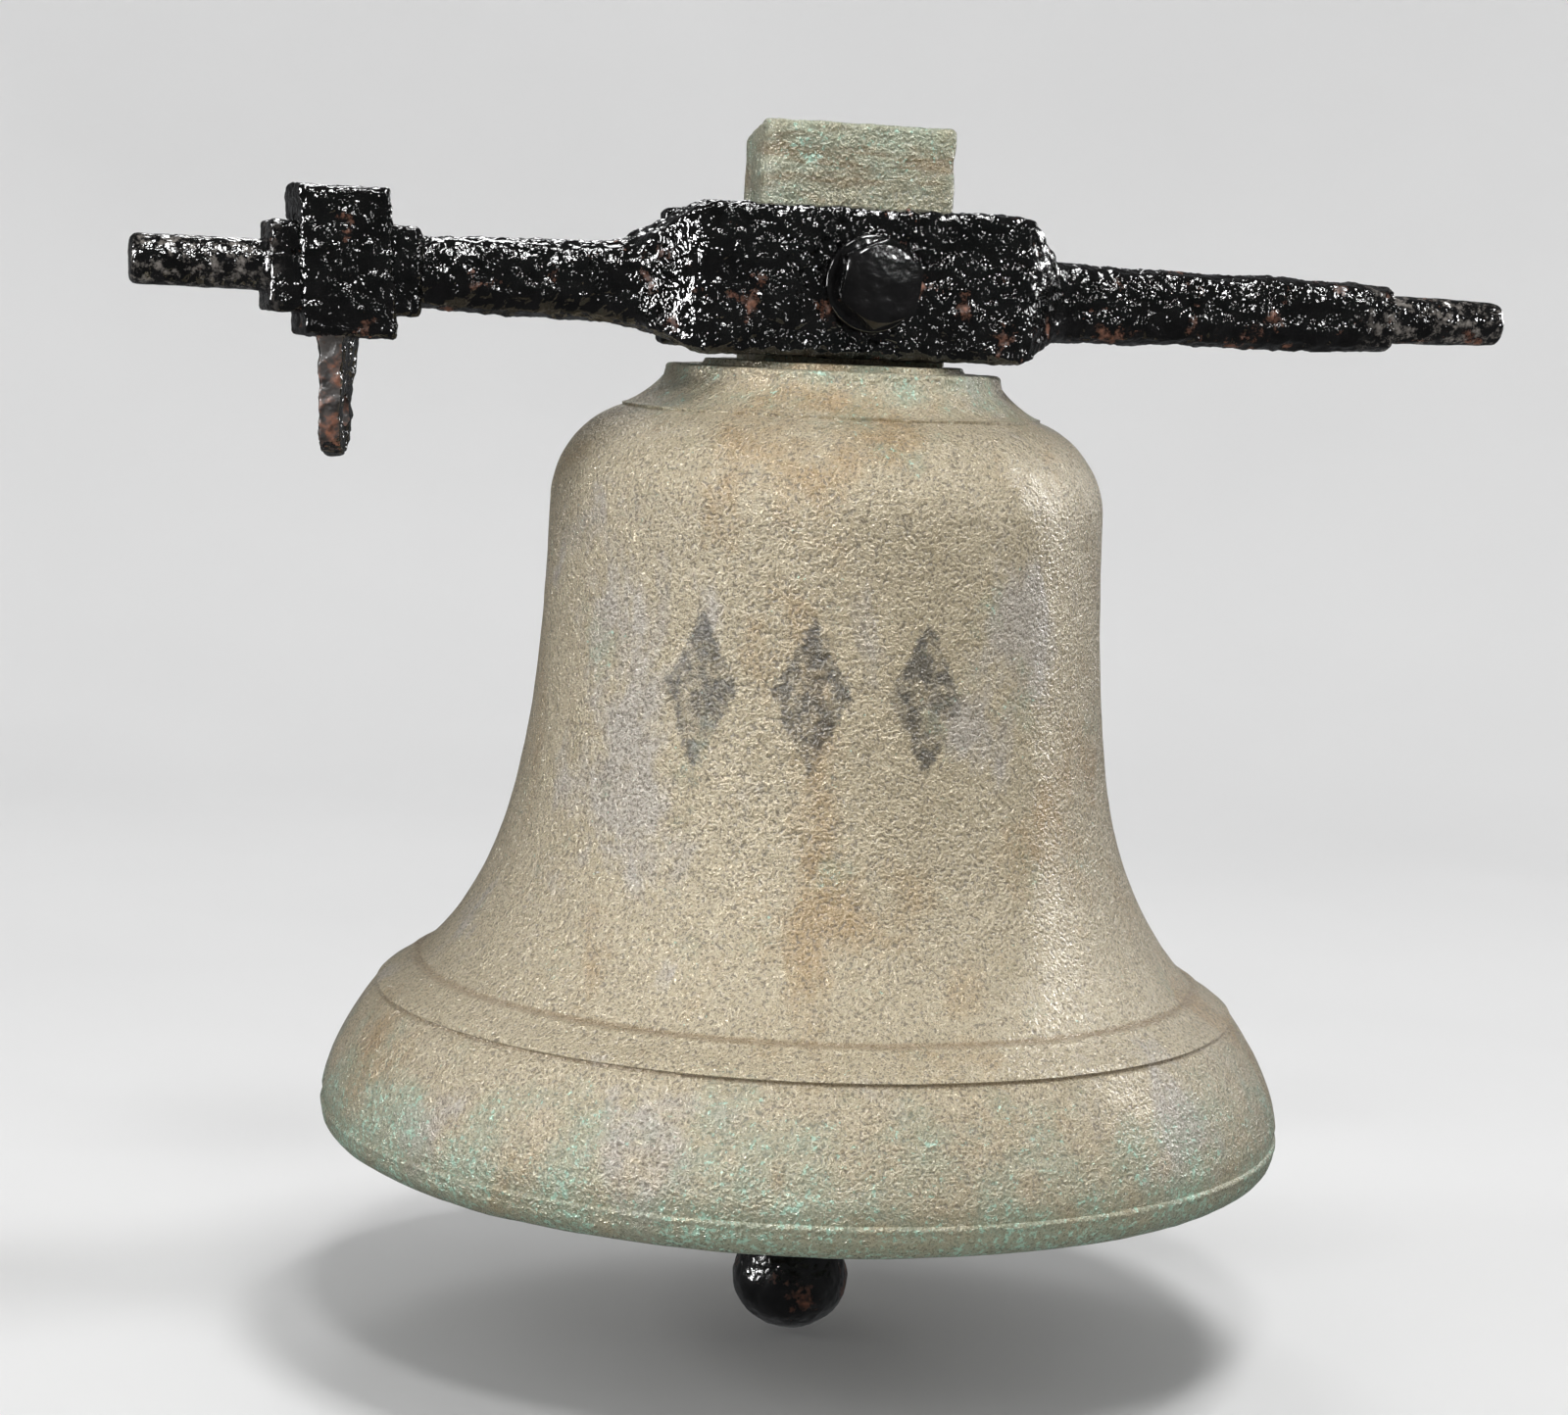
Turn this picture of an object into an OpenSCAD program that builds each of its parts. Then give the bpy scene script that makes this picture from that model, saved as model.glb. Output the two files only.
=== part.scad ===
// Small hung church bell: cast bell with a clamping lug, wrought headstock, and a clapper
// that hangs from a staple cast into the crown.
// Origin: the middle of the gudgeon axis. +X runs along the headstock, -Y is the front, +Z is up.
// Heights of the soundbow and moulding are counted up from the lip, the shoulder's down from
// the crown, and the clapper's up from its tip.

/* [Bell] */
// Height from the lip to the top of the crown
bell_h = 309.4; // [257:0.1:372]
// Widest radius, at the bead above the lip
mouth_r = 190.5; // [158:0.5:230]
// Radius that the waist settles to under the shoulder
waist_r = 107.8; // [98:0.1:112]
// Height over which the waist's flare falls to about a third
flare_fall = 46; // [38:1:56]
// Wall of the waist
waist_wall = 11; // [8:0.5:14]
// Thickest wall, where the clapper strikes
soundbow_wall = 29; // [23:0.5:34]
// Height of the bead above the lip
bead_h = 13; // [9:0.5:16]
// Height of the groove under the moulding band
groove_h = 59; // [52:0.5:66]
// How much smaller the bell is at that groove than at the bead
groove_in = 22; // [16:0.5:28]
// Height of the moulding band
band_h = 10.5; // [8:0.5:13]
// How far the band's upper edge stands proud of the waist
band_proud = 3.6; // [2:0.1:5]
// Radius of the shoulder's curve
shoulder_curve = 40; // [33:0.5:48]
// Radius of the crown's disc
crown_r = 66; // [60:0.5:70]
// Radius of the raised pad on the crown, round the lug
pad_r = 51; // [46:0.5:56]
// Height of that pad, counted in the bell's height
pad_h = 2.4; // [1:0.1:3.5]
// Height of the cove between the shoulder line and the crown's disc
cove_h = 17; // [14:0.5:20]
// Thickness of the crown at its middle
crown_t = 17; // [14:0.5:21]

/* [Lug] */
// Width of the lug along the headstock
lug_w = 77.5; // [65:0.5:94]
// Thickness of the lug between the headstock's two halves
lug_t = 32; // [26:0.2:40]
// Height of the lug's top above the gudgeon axis
lug_top = 65.5; // [56:0.5:80]
// How far the casting's lug stands off centre
lug_shift = 3; // [-3:0.5:4]
// Rounding of the lug's upright edges
lug_round = 4; // [2:0.5:7]

/* [Headstock] */
// Length of the clamping block
block_len = 125; // [110:0.5:150]
// Height of the clamping block
block_h = 56.5; // [50:0.5:70]
// Thickness of the front block
block_t = 28; // [23:0.5:34]
// Thickness of the rear plate
plate_t = 10; // [8:0.5:14]
// Length of the rear plate
plate_len = 133; // [120:0.5:160]
// Height of the rear plate
plate_h = 54; // [46:0.5:66]
// Gap between the headstock and the crown
crown_gap = 2.6; // [1:0.1:4]
// Length of each sweep from the block to an arm
sweep_len = 21; // [16:0.5:28]
// Diameter of the arms at the sweeps
arm_root_d = 31; // [27:0.5:36]
// Diameter of the arms at their outer ends
arm_end_d = 26.5; // [23:0.5:29]
// Diameter of the gudgeons
gudgeon_d = 19; // [16:0.5:22]
// From the axis' middle to the end of the left gudgeon
left_reach = 273.3; // [262:0.1:320]
// From the axis' middle to the end of the right gudgeon
right_reach = 286.8; // [262:0.1:330]
// Length of the left gudgeon
left_gudgeon = 49.8; // [42:0.1:58]
// Length of the right gudgeon
right_gudgeon = 52.2; // [42:0.1:58]
// Side of the square seat under the rope lever
seat_side = 33; // [30:0.5:38]
// Length of the square seat
seat_len = 56.5; // [50:0.5:64]
// Rounding at the gudgeons' ends
end_round = 2.5; // [1:0.5:4]

/* [Bolt] */
// Thread diameter of the through bolt
bolt_d = 20; // [16:1:24]
// Width of the hexagon across its flats
hex_flats = 30; // [27:0.5:36]
// Height of the bolt's head
head_h = 12.5; // [10:0.5:15]
// Height of the nut
nut_h = 16; // [13:0.5:19]
// Diameter of the washers
washer_d = 37; // [34:0.5:42]
// Thickness of the washers
washer_t = 3; // [2:0.5:4]
// Clearance around the bolt in its holes
bolt_clear = 1; // [0.5:0.1:1.5]
// Thread that stands out past the nut
thread_out = 4; // [2:0.5:8]
// Height of the bolt above the gudgeon axis
bolt_up = 3.5; // [0:0.5:6]

/* [Rope lever] */
// Middle of the lever's hub, left of the bell's axis
lever_x = 197.5; // [194:0.5:202]
// Length of the hub along the headstock
hub_len = 36; // [32:0.5:40]
// Height of the hub
hub_h = 55; // [48:0.5:64]
// Depth of the hub from front to back
hub_depth = 42; // [39:0.5:50]
// How far the hub's middle sits above the gudgeon axis
hub_up = 2.5; // [0:0.5:4]
// Thickness of the blade
blade_t = 7.5; // [6:0.5:10]
// How far the blade's middle stands right of the hub's
blade_off = 2.5; // [-3:0.5:4]
// How far the blade is twisted under the hub, in degrees
blade_turn = 18; // [0:0.5:24]
// Width of the blade at the hub
blade_w = 39; // [34:0.5:40]
// How far the blade hangs below the hub
blade_drop = 45; // [40:0.5:60]
// Width of the blade's rounded tip
tip_w = 34; // [28:0.5:36]
// Diameter of the hole for the rope's eye
rope_hole_d = 14; // [10:0.5:17]

/* [Clapper] */
// Diameter of the staple's bar
staple_d = 11; // [9:0.5:13]
// Radius of the staple's bend, to the middle of its bar
staple_bend = 17; // [16:0.2:21]
// Straight length of the staple's legs below the crown
staple_leg = 13; // [10:0.5:20]
// Depth that the staple's legs reach into the crown and lug
staple_sunk = 25; // [18:0.5:26]
// Diameter of the shackle's bar
shackle_d = 10; // [8:0.5:12]
// Gap where the shackle's bar lies on the staple's
link_gap = 0.3; // [0.2:0.1:0.6]
// Diameter of the shackle's pin
pin_d = 12; // [10:0.5:14]
// Radial running clearance of the clapper's eye on the pin
pin_clear = 0.06; // [0.03:0.01:0.09]
// Diameter of the shackle's ears
ear_d = 26; // [24:0.5:30]
// Diameter of the clapper's eye
eye_d = 30; // [27:0.5:34]
// Side clearance of the eye between the ears
eye_side = 0.6; // [0.4:0.1:1.5]
// Space between the eye's top and the staple
eye_over = 2.5; // [1.5:0.5:5]
// Diameter of the clapper's shank under its eye
shank_d = 17; // [14:0.5:20]
// Diameter of the shank where the bulb begins
lower_shank_d = 20; // [17:0.5:24]
// Widest diameter of the bulb
bulb_d = 47; // [39:0.5:54]
// Length of the bulb's flare above its widest ring
bulb_flare = 62; // [50:1:75]
// Length of the rounded end below the widest ring
bulb_end = 21; // [16:0.5:26]
// How far the tip hangs below the lip
clapper_drop = 79; // [66:0.5:95]

/* [Hidden] */
$fn = 96;

bronze = "#a39a7c";
black_iron = "#17171a";
worn_iron = "#3a302a";

// Heights and depths that several pieces share
block_low = bolt_up - block_h/2;
block_top = bolt_up + block_h/2;
crown_z = block_low - crown_gap;
lip_z = crown_z - bell_h;
crown_under = crown_z - crown_t;
clamp_y = lug_t/2;
block_front = -clamp_y - block_t;
plate_back = clamp_y + plate_t;
bolt_hole_d = bolt_d + 2*bolt_clear;

// The staple's bar and the shackle hang one in the other, like chain links
staple_r = staple_d/2;
shackle_r = shackle_d/2;
bend_z = crown_under - staple_leg;
swing_z = bend_z - staple_bend;
bow_top = swing_z + staple_r + link_gap + shackle_r;
ear_t = shackle_d + 1;
ear_y = staple_bend;
sway_z = swing_z - staple_r - eye_over - eye_d/2;
eye_t = 2*(ear_y - ear_t/2 - eye_side);
ear_out = ear_y + ear_t/2;
anchor_r = staple_r + 2.5;
anchor_t = 4;
cast_gap = 0.05;
tip_z = lip_z - clapper_drop;

// The pin's head, washer and split pin
pin_head_d = pin_d + 7;
pin_head_t = 5;
pin_washer_d = pin_d + 9;
pin_washer_t = 2.5;
split_d = 3.2;
split_hole_d = split_d + 0.3;
split_y = ear_out + pin_washer_t + split_hole_d/2 + 0.2;
pin_past = split_y + split_hole_d/2 + 3.5;
split_reach = pin_d/2 + 4;
split_ring_r = 4.2;

// Points of a cubic curve from a to d, with handles b and c
function curve(a, b, c, d, n) =
    [for (i = [0:n]) let (t = i/n)
        pow(1 - t, 3)*a + 3*t*pow(1 - t, 2)*b + 3*t*t*(1 - t)*c + t*t*t*d];

// Points of an arc about [x, z] from angle a1 to a2
function arc(x, z, r, a1, a2, n) =
    [for (i = [0:n]) let (a = a1 + (a2 - a1)*i/n) [x + r*cos(a), z + r*sin(a)]];

// Outside of the bell, from the lip up to the crown
band_r = mouth_r - groove_in;
band_top = groove_h + band_h;
band_top_r = band_r - 1.35*band_h;
shoulder_z = bell_h - pad_h - cove_h - shoulder_curve*sin(73);
bow_power = 1.7;
function soundbow(z) =
    mouth_r - (groove_in - 1.5)*pow((z - bead_h)/(groove_h - bead_h), bow_power);
function waist(z) = waist_r + (band_top_r - waist_r)*exp((band_top - z)/flare_fall);

lip_in = mouth_r - 16.5;
lip_out = mouth_r - 9;
waist_end = shoulder_z - 2;
waist_steps = 22;
line_r = waist(waist_end) - shoulder_curve + shoulder_curve*cos(73);
line_h = shoulder_z + shoulder_curve*sin(73);
disc_h = bell_h - pad_h;
bell_outside = concat(
    [[lip_in, 0], [lip_out, 0]],
    curve([lip_out + 2.5, 1], [lip_out + 6, 3], [mouth_r - 0.8, 6], [mouth_r - 0.6, bead_h - 4], 5),
    arc(mouth_r - 1.6, bead_h - 1, 1.6, -30, 75, 5),
    [for (i = [2:14]) let (z = bead_h + (groove_h - 1.5 - bead_h)*i/14) [soundbow(z), z]],
    [[band_r - 1.6, groove_h - 0.4], [band_r - 1.2, groove_h + 0.4]],
    curve([band_r + 0.4, groove_h + 1.2],
          [band_r - 1.5, groove_h + 0.4*band_h],
          [band_top_r + band_proud + 2.5, band_top - 0.35*band_h],
          [band_top_r + band_proud, band_top - 1.6], 5),
    [[band_top_r + band_proud - 1.2, band_top - 0.4]],
    [for (i = [0:waist_steps])
        let (z = band_top + 0.4 + (waist_end - band_top - 0.4)*pow(i/waist_steps, 1.25))
        [waist(z), z]],
    arc(waist(waist_end) - shoulder_curve, shoulder_z, shoulder_curve, 8, 73, 12),
    [[line_r + 1.4, line_h - 0.6], [line_r + 1.6, line_h + 0.6], [line_r - 0.6, line_h + 1.2]],
    curve([line_r - 1.2, line_h + 1.6], [line_r - 5, line_h + 3.4],
          [crown_r + 3.5, disc_h - 9], [crown_r + 0.6, disc_h - 5], 6),
    arc(crown_r - 2, disc_h - 2, 2, -10, 90, 5),
    [[pad_r + 1, disc_h]],
    arc(pad_r - 1, bell_h - 1, 1, 0, 90, 3));

// Inside of the bell, from the crown's middle down to the lip
inner_curve = shoulder_curve - waist_wall;
strike_r = mouth_r - soundbow_wall;
function inside(z) = waist(z) - waist_wall - 7*exp((band_top - z)/30);
inside_low = band_top + 6;
inside_slope = 0.82;
crown_in = bell_h - crown_t;
hollow_out = waist(waist_end) - shoulder_curve;
bell_inside = concat(
    [[0, crown_in], [crown_r - 18, crown_in]],
    curve([crown_r - 14, crown_in - 0.4], [crown_r - 6, crown_in - 2],
          [hollow_out + inner_curve*cos(72) - 6, shoulder_z + inner_curve*sin(72) + 4],
          [hollow_out + inner_curve*cos(68), shoulder_z + inner_curve*sin(68)], 4),
    [for (p = arc(hollow_out, shoulder_z, inner_curve, 60, 4, 8)) p],
    [for (i = [0:16]) let (z = waist_end - (waist_end - inside_low)*pow(i/16, 0.85)) [inside(z), z]],
    curve([inside(inside_low) + inside_slope*3, inside_low - 3],
          [inside(inside_low) + inside_slope*16, inside_low - 19],
          [strike_r - 0.3, 48], [strike_r, 30], 8),
    curve([strike_r, 28], [strike_r, 14], [strike_r + 3, 5], [lip_in - 4, 1.6], 6));

module ring_of(points, rise) {
    translate([0, 0, rise]) rotate_extrude($fn = 144) polygon(points);
}

// A round bar along an axis: turn = [0, 90, 0] lays it along X, [90, 0, 0] along Y
module bar_x(d, from, to) {
    translate([from, 0, 0]) rotate([0, 90, 0]) cylinder(d = d, h = to - from);
}

module bar_y(d, from, to) {
    translate([0, from, 0]) rotate([-90, 0, 0]) cylinder(d = d, h = to - from);
}

module box(low, high) {
    translate(low) cube(high - low);
}

// Half ring in the XZ plane: the upper half, or the lower one with up = -1
module half_ring(bend, d, up) {
    rotate([90, 0, 0]) intersection() {
        rotate_extrude() translate([bend, 0]) circle(d = d, $fn = 48);
        box([-bend - d, up > 0 ? 0 : -bend - d, -d], [bend + d, up > 0 ? bend + d : 0, d]);
    }
}

module staple_legs(grow) {
    for (side = [-1, 1]) translate([side*staple_bend, 0, 0]) {
        translate([0, 0, bend_z]) cylinder(r = staple_r + grow, h = crown_under + staple_sunk - bend_z);
        translate([0, 0, crown_under + staple_sunk - anchor_t - grow])
            cylinder(r = anchor_r + grow, h = anchor_t + 2*grow);
    }
}

// The lug's plan has rounded upright edges
module lug() {
    x = lug_w/2 - lug_round;
    y = lug_t/2 - lug_round;
    low = crown_z - 4;
    translate([lug_shift, 0, low]) linear_extrude(lug_top - low) polygon(concat(
        arc(x, y, lug_round, 0, 90, 5), arc(-x, y, lug_round, 90, 180, 5),
        arc(-x, -y, lug_round, 180, 270, 5), arc(x, -y, lug_round, 270, 360, 5)));
}

module bell_casting() {
    color(bronze) difference() {
        union() {
            ring_of(concat(bell_outside, [[0, bell_h]], bell_inside), lip_z);
            lug();
        }
        translate([0, 0, bolt_up]) bar_y(bolt_hole_d, -lug_t, lug_t);
        staple_legs(cast_gap);
    }
}

module crown_staple() {
    color(worn_iron) {
        staple_legs(0);
        translate([0, 0, bend_z]) half_ring(staple_bend, staple_d, -1);
    }
}

// One sweep from the block's end to an arm on the gudgeon axis, for side -1 or 1
module sweep(side) {
    start = side*block_len/2;
    hull() {
        box([start - 0.5, block_front, block_low], [start + 0.5, -clamp_y, block_top]);
        translate([start + side*sweep_len, 0, 0])
            bar_x(arm_root_d, -0.5, 0.5, $fn = 32);
    }
}

// An arm that tapers outwards from x = from to x = to
module arm(from, to) {
    translate([from, 0, 0]) rotate([0, 90, 0])
        cylinder(d1 = arm_root_d, d2 = arm_end_d, h = to - from);
}

// A gudgeon that ends at x = reach, drawn towards +X
module gudgeon(reach, length) {
    bar_x(gudgeon_d, reach - length - 1, reach - end_round);
    translate([reach - end_round, 0, 0]) rotate([0, 90, 0])
        rotate_extrude() intersection() {
            translate([gudgeon_d/2 - end_round, 0]) circle(r = end_round, $fn = 32);
            square([gudgeon_d/2, end_round]);
        }
    bar_x(gudgeon_d - 2*end_round, reach - end_round - 1, reach);
}

module headstock_bar() {
    seat_out = left_reach - left_gudgeon;
    seat_in = seat_out - seat_len;
    half = seat_side/2;
    arm_from = block_len/2 + sweep_len;
    color(black_iron) difference() {
        union() {
            box([-block_len/2, block_front, block_low], [block_len/2, -clamp_y, block_top]);
            sweep(-1);
            sweep(1);
            arm(arm_from, right_reach - right_gudgeon);
            mirror([1, 0, 0]) arm(arm_from, seat_in + 1);
            box([-seat_out, -half, -half], [-seat_in, half, half]);
            gudgeon(right_reach, right_gudgeon);
            mirror([1, 0, 0]) gudgeon(left_reach, left_gudgeon);
        }
        translate([0, 0, bolt_up]) bar_y(bolt_hole_d, block_front - 1, -clamp_y + 1);
    }
}

module headstock_rear_plate() {
    low = bolt_up - plate_h/2;
    color(black_iron) difference() {
        box([-plate_len/2, clamp_y, low], [plate_len/2, plate_back, low + plate_h]);
        translate([0, 0, bolt_up]) bar_y(bolt_hole_d, clamp_y - 1, plate_back + 1);
    }
}

// A hexagon of the bolt's size between two depths, with its corners turned down at one face
module hexagon(from, to, turned_at) {
    corners = hex_flats/cos(30);
    turned = 0.5*(corners - hex_flats);
    intersection() {
        translate([0, from, 0]) rotate([-90, 0, 0]) rotate([0, 0, 8])
            cylinder(d = corners, h = to - from, $fn = 6);
        translate([0, turned_at, 0]) rotate([turned_at < 0 ? -90 : 90, 0, 0])
            cylinder(d1 = hex_flats - 1, d2 = hex_flats - 1 + 2*(to - from + turned)*1.8,
                     h = to - from + turned);
    }
}

module headstock_bolt() {
    under_head = block_front - washer_t;
    color(black_iron) translate([0, 0, bolt_up]) {
        hexagon(under_head - head_h, under_head, under_head - head_h);
        bar_y(bolt_d, under_head - 0.5, plate_back + washer_t + nut_h + thread_out);
    }
}

module washer(from) {
    color(black_iron) translate([0, 0, bolt_up]) difference() {
        bar_y(washer_d, from, from + washer_t);
        bar_y(bolt_hole_d, from - 1, from + washer_t + 1);
    }
}

module bolt_front_washer() washer(block_front - washer_t);

module bolt_rear_washer() washer(plate_back);

module headstock_nut() {
    from = plate_back + washer_t;
    color(black_iron) translate([0, 0, bolt_up]) difference() {
        hexagon(from, from + nut_h, from + nut_h);
        bar_y(bolt_d, from - 1, from + nut_h + 1);
    }
}

module rope_lever() {
    low = hub_up - hub_h/2;
    half = seat_side/2;
    tip_at = low - blade_drop + tip_w/2;
    color(black_iron) translate([-lever_x, 0, 0]) difference() {
        union() {
            box([-hub_len/2, -hub_depth/2, low], [hub_len/2, hub_depth/2, low + hub_h]);
            twisted() hull() {
                box([-blade_t/2, -blade_w/2, low - 1], [blade_t/2, blade_w/2, low + 1]);
                translate([0, 0, tip_at]) bar_x(tip_w, -blade_t/2, blade_t/2, $fn = 32);
            }
        }
        box([-hub_len/2 - 1, -half, -half], [hub_len/2 + 1, half, half]);
        twisted() translate([0, 0, tip_at]) bar_x(rope_hole_d, -blade_t, blade_t);
    }
}

// The blade's own place and twist under the hub
module twisted() {
    translate([blade_off, 0, 0]) rotate([0, 0, -blade_turn]) children();
}

module clapper_shackle() {
    color(worn_iron) difference() {
        union() {
            translate([0, 0, bow_top - ear_y]) rotate([0, 0, 90]) half_ring(ear_y, shackle_d, 1);
            for (side = [-1, 1]) {
                translate([0, side*ear_y, sway_z])
                    cylinder(d = shackle_d, h = bow_top - ear_y - sway_z, $fn = 48);
                translate([0, 0, sway_z]) bar_y(ear_d, side*ear_y - ear_t/2, side*ear_y + ear_t/2);
            }
        }
        translate([0, 0, sway_z]) bar_y(pin_d + 2*pin_clear, -ear_out - 1, ear_out + 1);
    }
}

module shackle_pin() {
    color(worn_iron) translate([0, 0, sway_z]) difference() {
        union() {
            bar_y(pin_d, -ear_out - 0.5, pin_past);
            bar_y(pin_head_d, -ear_out - pin_head_t, -ear_out);
        }
        translate([0, split_y, 0]) bar_x(split_hole_d, -pin_d, pin_d);
    }
}

module shackle_pin_washer() {
    color(worn_iron) translate([0, 0, sway_z]) difference() {
        bar_y(pin_washer_d, ear_out, ear_out + pin_washer_t);
        bar_y(pin_d + 0.4, ear_out - 1, ear_out + pin_washer_t + 1);
    }
}

// The split pin's eye stands out at the left, and its two ends are bent apart at the right
module shackle_split_pin() {
    color(worn_iron) translate([0, split_y, sway_z]) {
        bar_x(split_d, -split_reach, split_reach);
        translate([-split_reach - split_ring_r + 0.8, 0, 0]) rotate([90, 0, 0])
            rotate_extrude($fn = 32) translate([split_ring_r - split_d/4, 0])
                circle(d = split_d*0.6, $fn = 24);
        for (side = [-1, 1]) translate([split_reach - 0.6, 0, 0]) rotate([0, side*50, 0])
            bar_x(split_d*0.55, 0, 9);
    }
}

// Outline of the clapper's turned part, heights counted up from its tip
module clapper() {
    reach = sway_z - tip_z;
    ring_h = bulb_end;
    flare_h = bulb_end + bulb_flare;
    neck_h = reach - eye_d/2 + 3;
    outline = concat(
        [[0, 0]],
        curve([0.25*bulb_d, 0.6], [0.4*bulb_d, 3], [bulb_d/2 - 1.5, ring_h*0.45], [bulb_d/2 - 0.3, ring_h - 3], 6),
        [[bulb_d/2, ring_h]],
        curve([bulb_d/2 - 0.5, ring_h + 2.5], [bulb_d/2 - 8, ring_h + 0.5*bulb_flare],
              [lower_shank_d/2, ring_h + 0.62*bulb_flare], [lower_shank_d/2, flare_h], 9),
        [[shank_d/2, neck_h], [0, neck_h]]);
    color(black_iron) difference() {
        union() {
            translate([0, 0, tip_z]) rotate_extrude() polygon(outline);
            translate([0, 0, sway_z]) bar_y(eye_d, -eye_t/2, eye_t/2);
        }
        translate([0, 0, sway_z]) bar_y(pin_d + 2*pin_clear, -eye_t, eye_t);
    }
}

bell_casting();
crown_staple();
headstock_bar();
headstock_rear_plate();
headstock_bolt();
bolt_front_washer();
bolt_rear_washer();
headstock_nut();
rope_lever();
clapper_shackle();
shackle_pin();
shackle_pin_washer();
shackle_split_pin();
clapper();
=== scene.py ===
"""A small hung church bell: sand-cast bell, forged headstock, rope lever and loose-hung clapper."""

import logging
import math
from contextlib import contextmanager
from dataclasses import dataclass
from enum import Enum
from typing import Callable, Iterator, Sequence

import bmesh
import bpy
from mathutils import Matrix, Vector


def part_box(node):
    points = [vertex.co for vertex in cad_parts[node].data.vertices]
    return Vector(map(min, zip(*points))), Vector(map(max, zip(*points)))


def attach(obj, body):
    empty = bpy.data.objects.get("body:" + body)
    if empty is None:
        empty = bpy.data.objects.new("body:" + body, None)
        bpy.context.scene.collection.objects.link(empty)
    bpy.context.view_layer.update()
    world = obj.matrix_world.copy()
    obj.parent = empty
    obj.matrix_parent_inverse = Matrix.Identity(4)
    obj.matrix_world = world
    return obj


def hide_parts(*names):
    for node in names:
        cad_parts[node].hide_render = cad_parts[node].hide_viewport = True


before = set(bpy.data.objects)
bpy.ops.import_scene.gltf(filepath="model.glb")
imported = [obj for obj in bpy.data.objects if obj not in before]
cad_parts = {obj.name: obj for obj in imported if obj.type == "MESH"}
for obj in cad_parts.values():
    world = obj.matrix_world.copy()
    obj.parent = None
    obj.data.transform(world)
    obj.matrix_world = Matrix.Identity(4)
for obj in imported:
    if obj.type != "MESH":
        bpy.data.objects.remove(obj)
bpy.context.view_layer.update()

log = logging.getLogger("church_bell")

MM = 0.001
# Sizes in millimetres that more than one piece is made to
LUG_T = 32.0
BLOCK_T = 28.0
PLATE_T = 10.0
BOLT_UP = 3.5
BOLT_HOLE = 22.0
SEAT_SIDE = 33.0
Point = tuple[float, float]
Section = tuple[float, float, float, float, float]


class Body(Enum):
    """The bodies that the pieces ride on."""

    BELL = "bell"
    SHACKLE = "shackle"
    CLAPPER = "clapper"


class Slot(Enum):
    """The record's finishes."""

    BRONZE = "bell_bronze"
    FORGING = "black_iron"
    BOLT = "black_bolt"
    BARE = "bare_iron"
    CLAPPER = "black_clapper"


# ---------------------------------------------------------------- modelling by hand, in code


def select_only(obj: bpy.types.Object) -> None:
    """Deselect everything, then select one object and make it active."""
    for other in bpy.context.selected_objects:
        other.select_set(False)
    obj.select_set(True)
    bpy.context.view_layer.objects.active = obj


@contextmanager
def editing(obj: bpy.types.Object, kind: str = "VERT") -> Iterator[None]:
    """Work on a mesh in edit mode, with everything on it deselected.

    Args:
        obj: The mesh object.
        kind: What is selected in it: VERT, EDGE or FACE.
    """
    select_only(obj)
    bpy.ops.object.mode_set(mode="EDIT")
    bpy.ops.mesh.select_mode(type=kind)
    bpy.ops.mesh.select_all(action="DESELECT")
    try:
        yield
    finally:
        bpy.ops.object.mode_set(mode="OBJECT")


def settle(obj: bpy.types.Object, name: str) -> bpy.types.Object:
    """Name a piece and put its place, turn and scale into its mesh."""
    obj.name = name
    obj.data.name = name
    select_only(obj)
    bpy.ops.object.transform_apply(location=True, rotation=True, scale=True)
    return obj


def pick_faces(obj: bpy.types.Object, test: Callable[[Vector, Vector], bool]) -> None:
    """Select the faces, in edit mode, whose middle and normal pass a test, in millimetres."""
    mesh = bmesh.from_edit_mesh(obj.data)
    for face in mesh.faces:
        face.select_set(test(face.calc_center_median() / MM, face.normal))
    bmesh.update_edit_mesh(obj.data)


def pick_edges(obj: bpy.types.Object, test: Callable[[Vector, Vector], bool]) -> None:
    """Select the edges of a mesh in edit mode whose two ends pass a test, in millimetres."""
    mesh = bmesh.from_edit_mesh(obj.data)
    for edge in mesh.edges:
        edge.select_set(test(edge.verts[0].co / MM, edge.verts[1].co / MM))
    bmesh.update_edit_mesh(obj.data)


def block(name: str, low: Sequence[float], high: Sequence[float]) -> bpy.types.Object:
    """A block between two corners, in millimetres, to be shaped further."""
    bpy.ops.mesh.primitive_cube_add(
        size=1,
        location=[(a + b) / 2 * MM for a, b in zip(low, high)],
        scale=[(b - a) * MM for a, b in zip(low, high)],
    )
    return settle(bpy.context.object, name)


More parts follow.
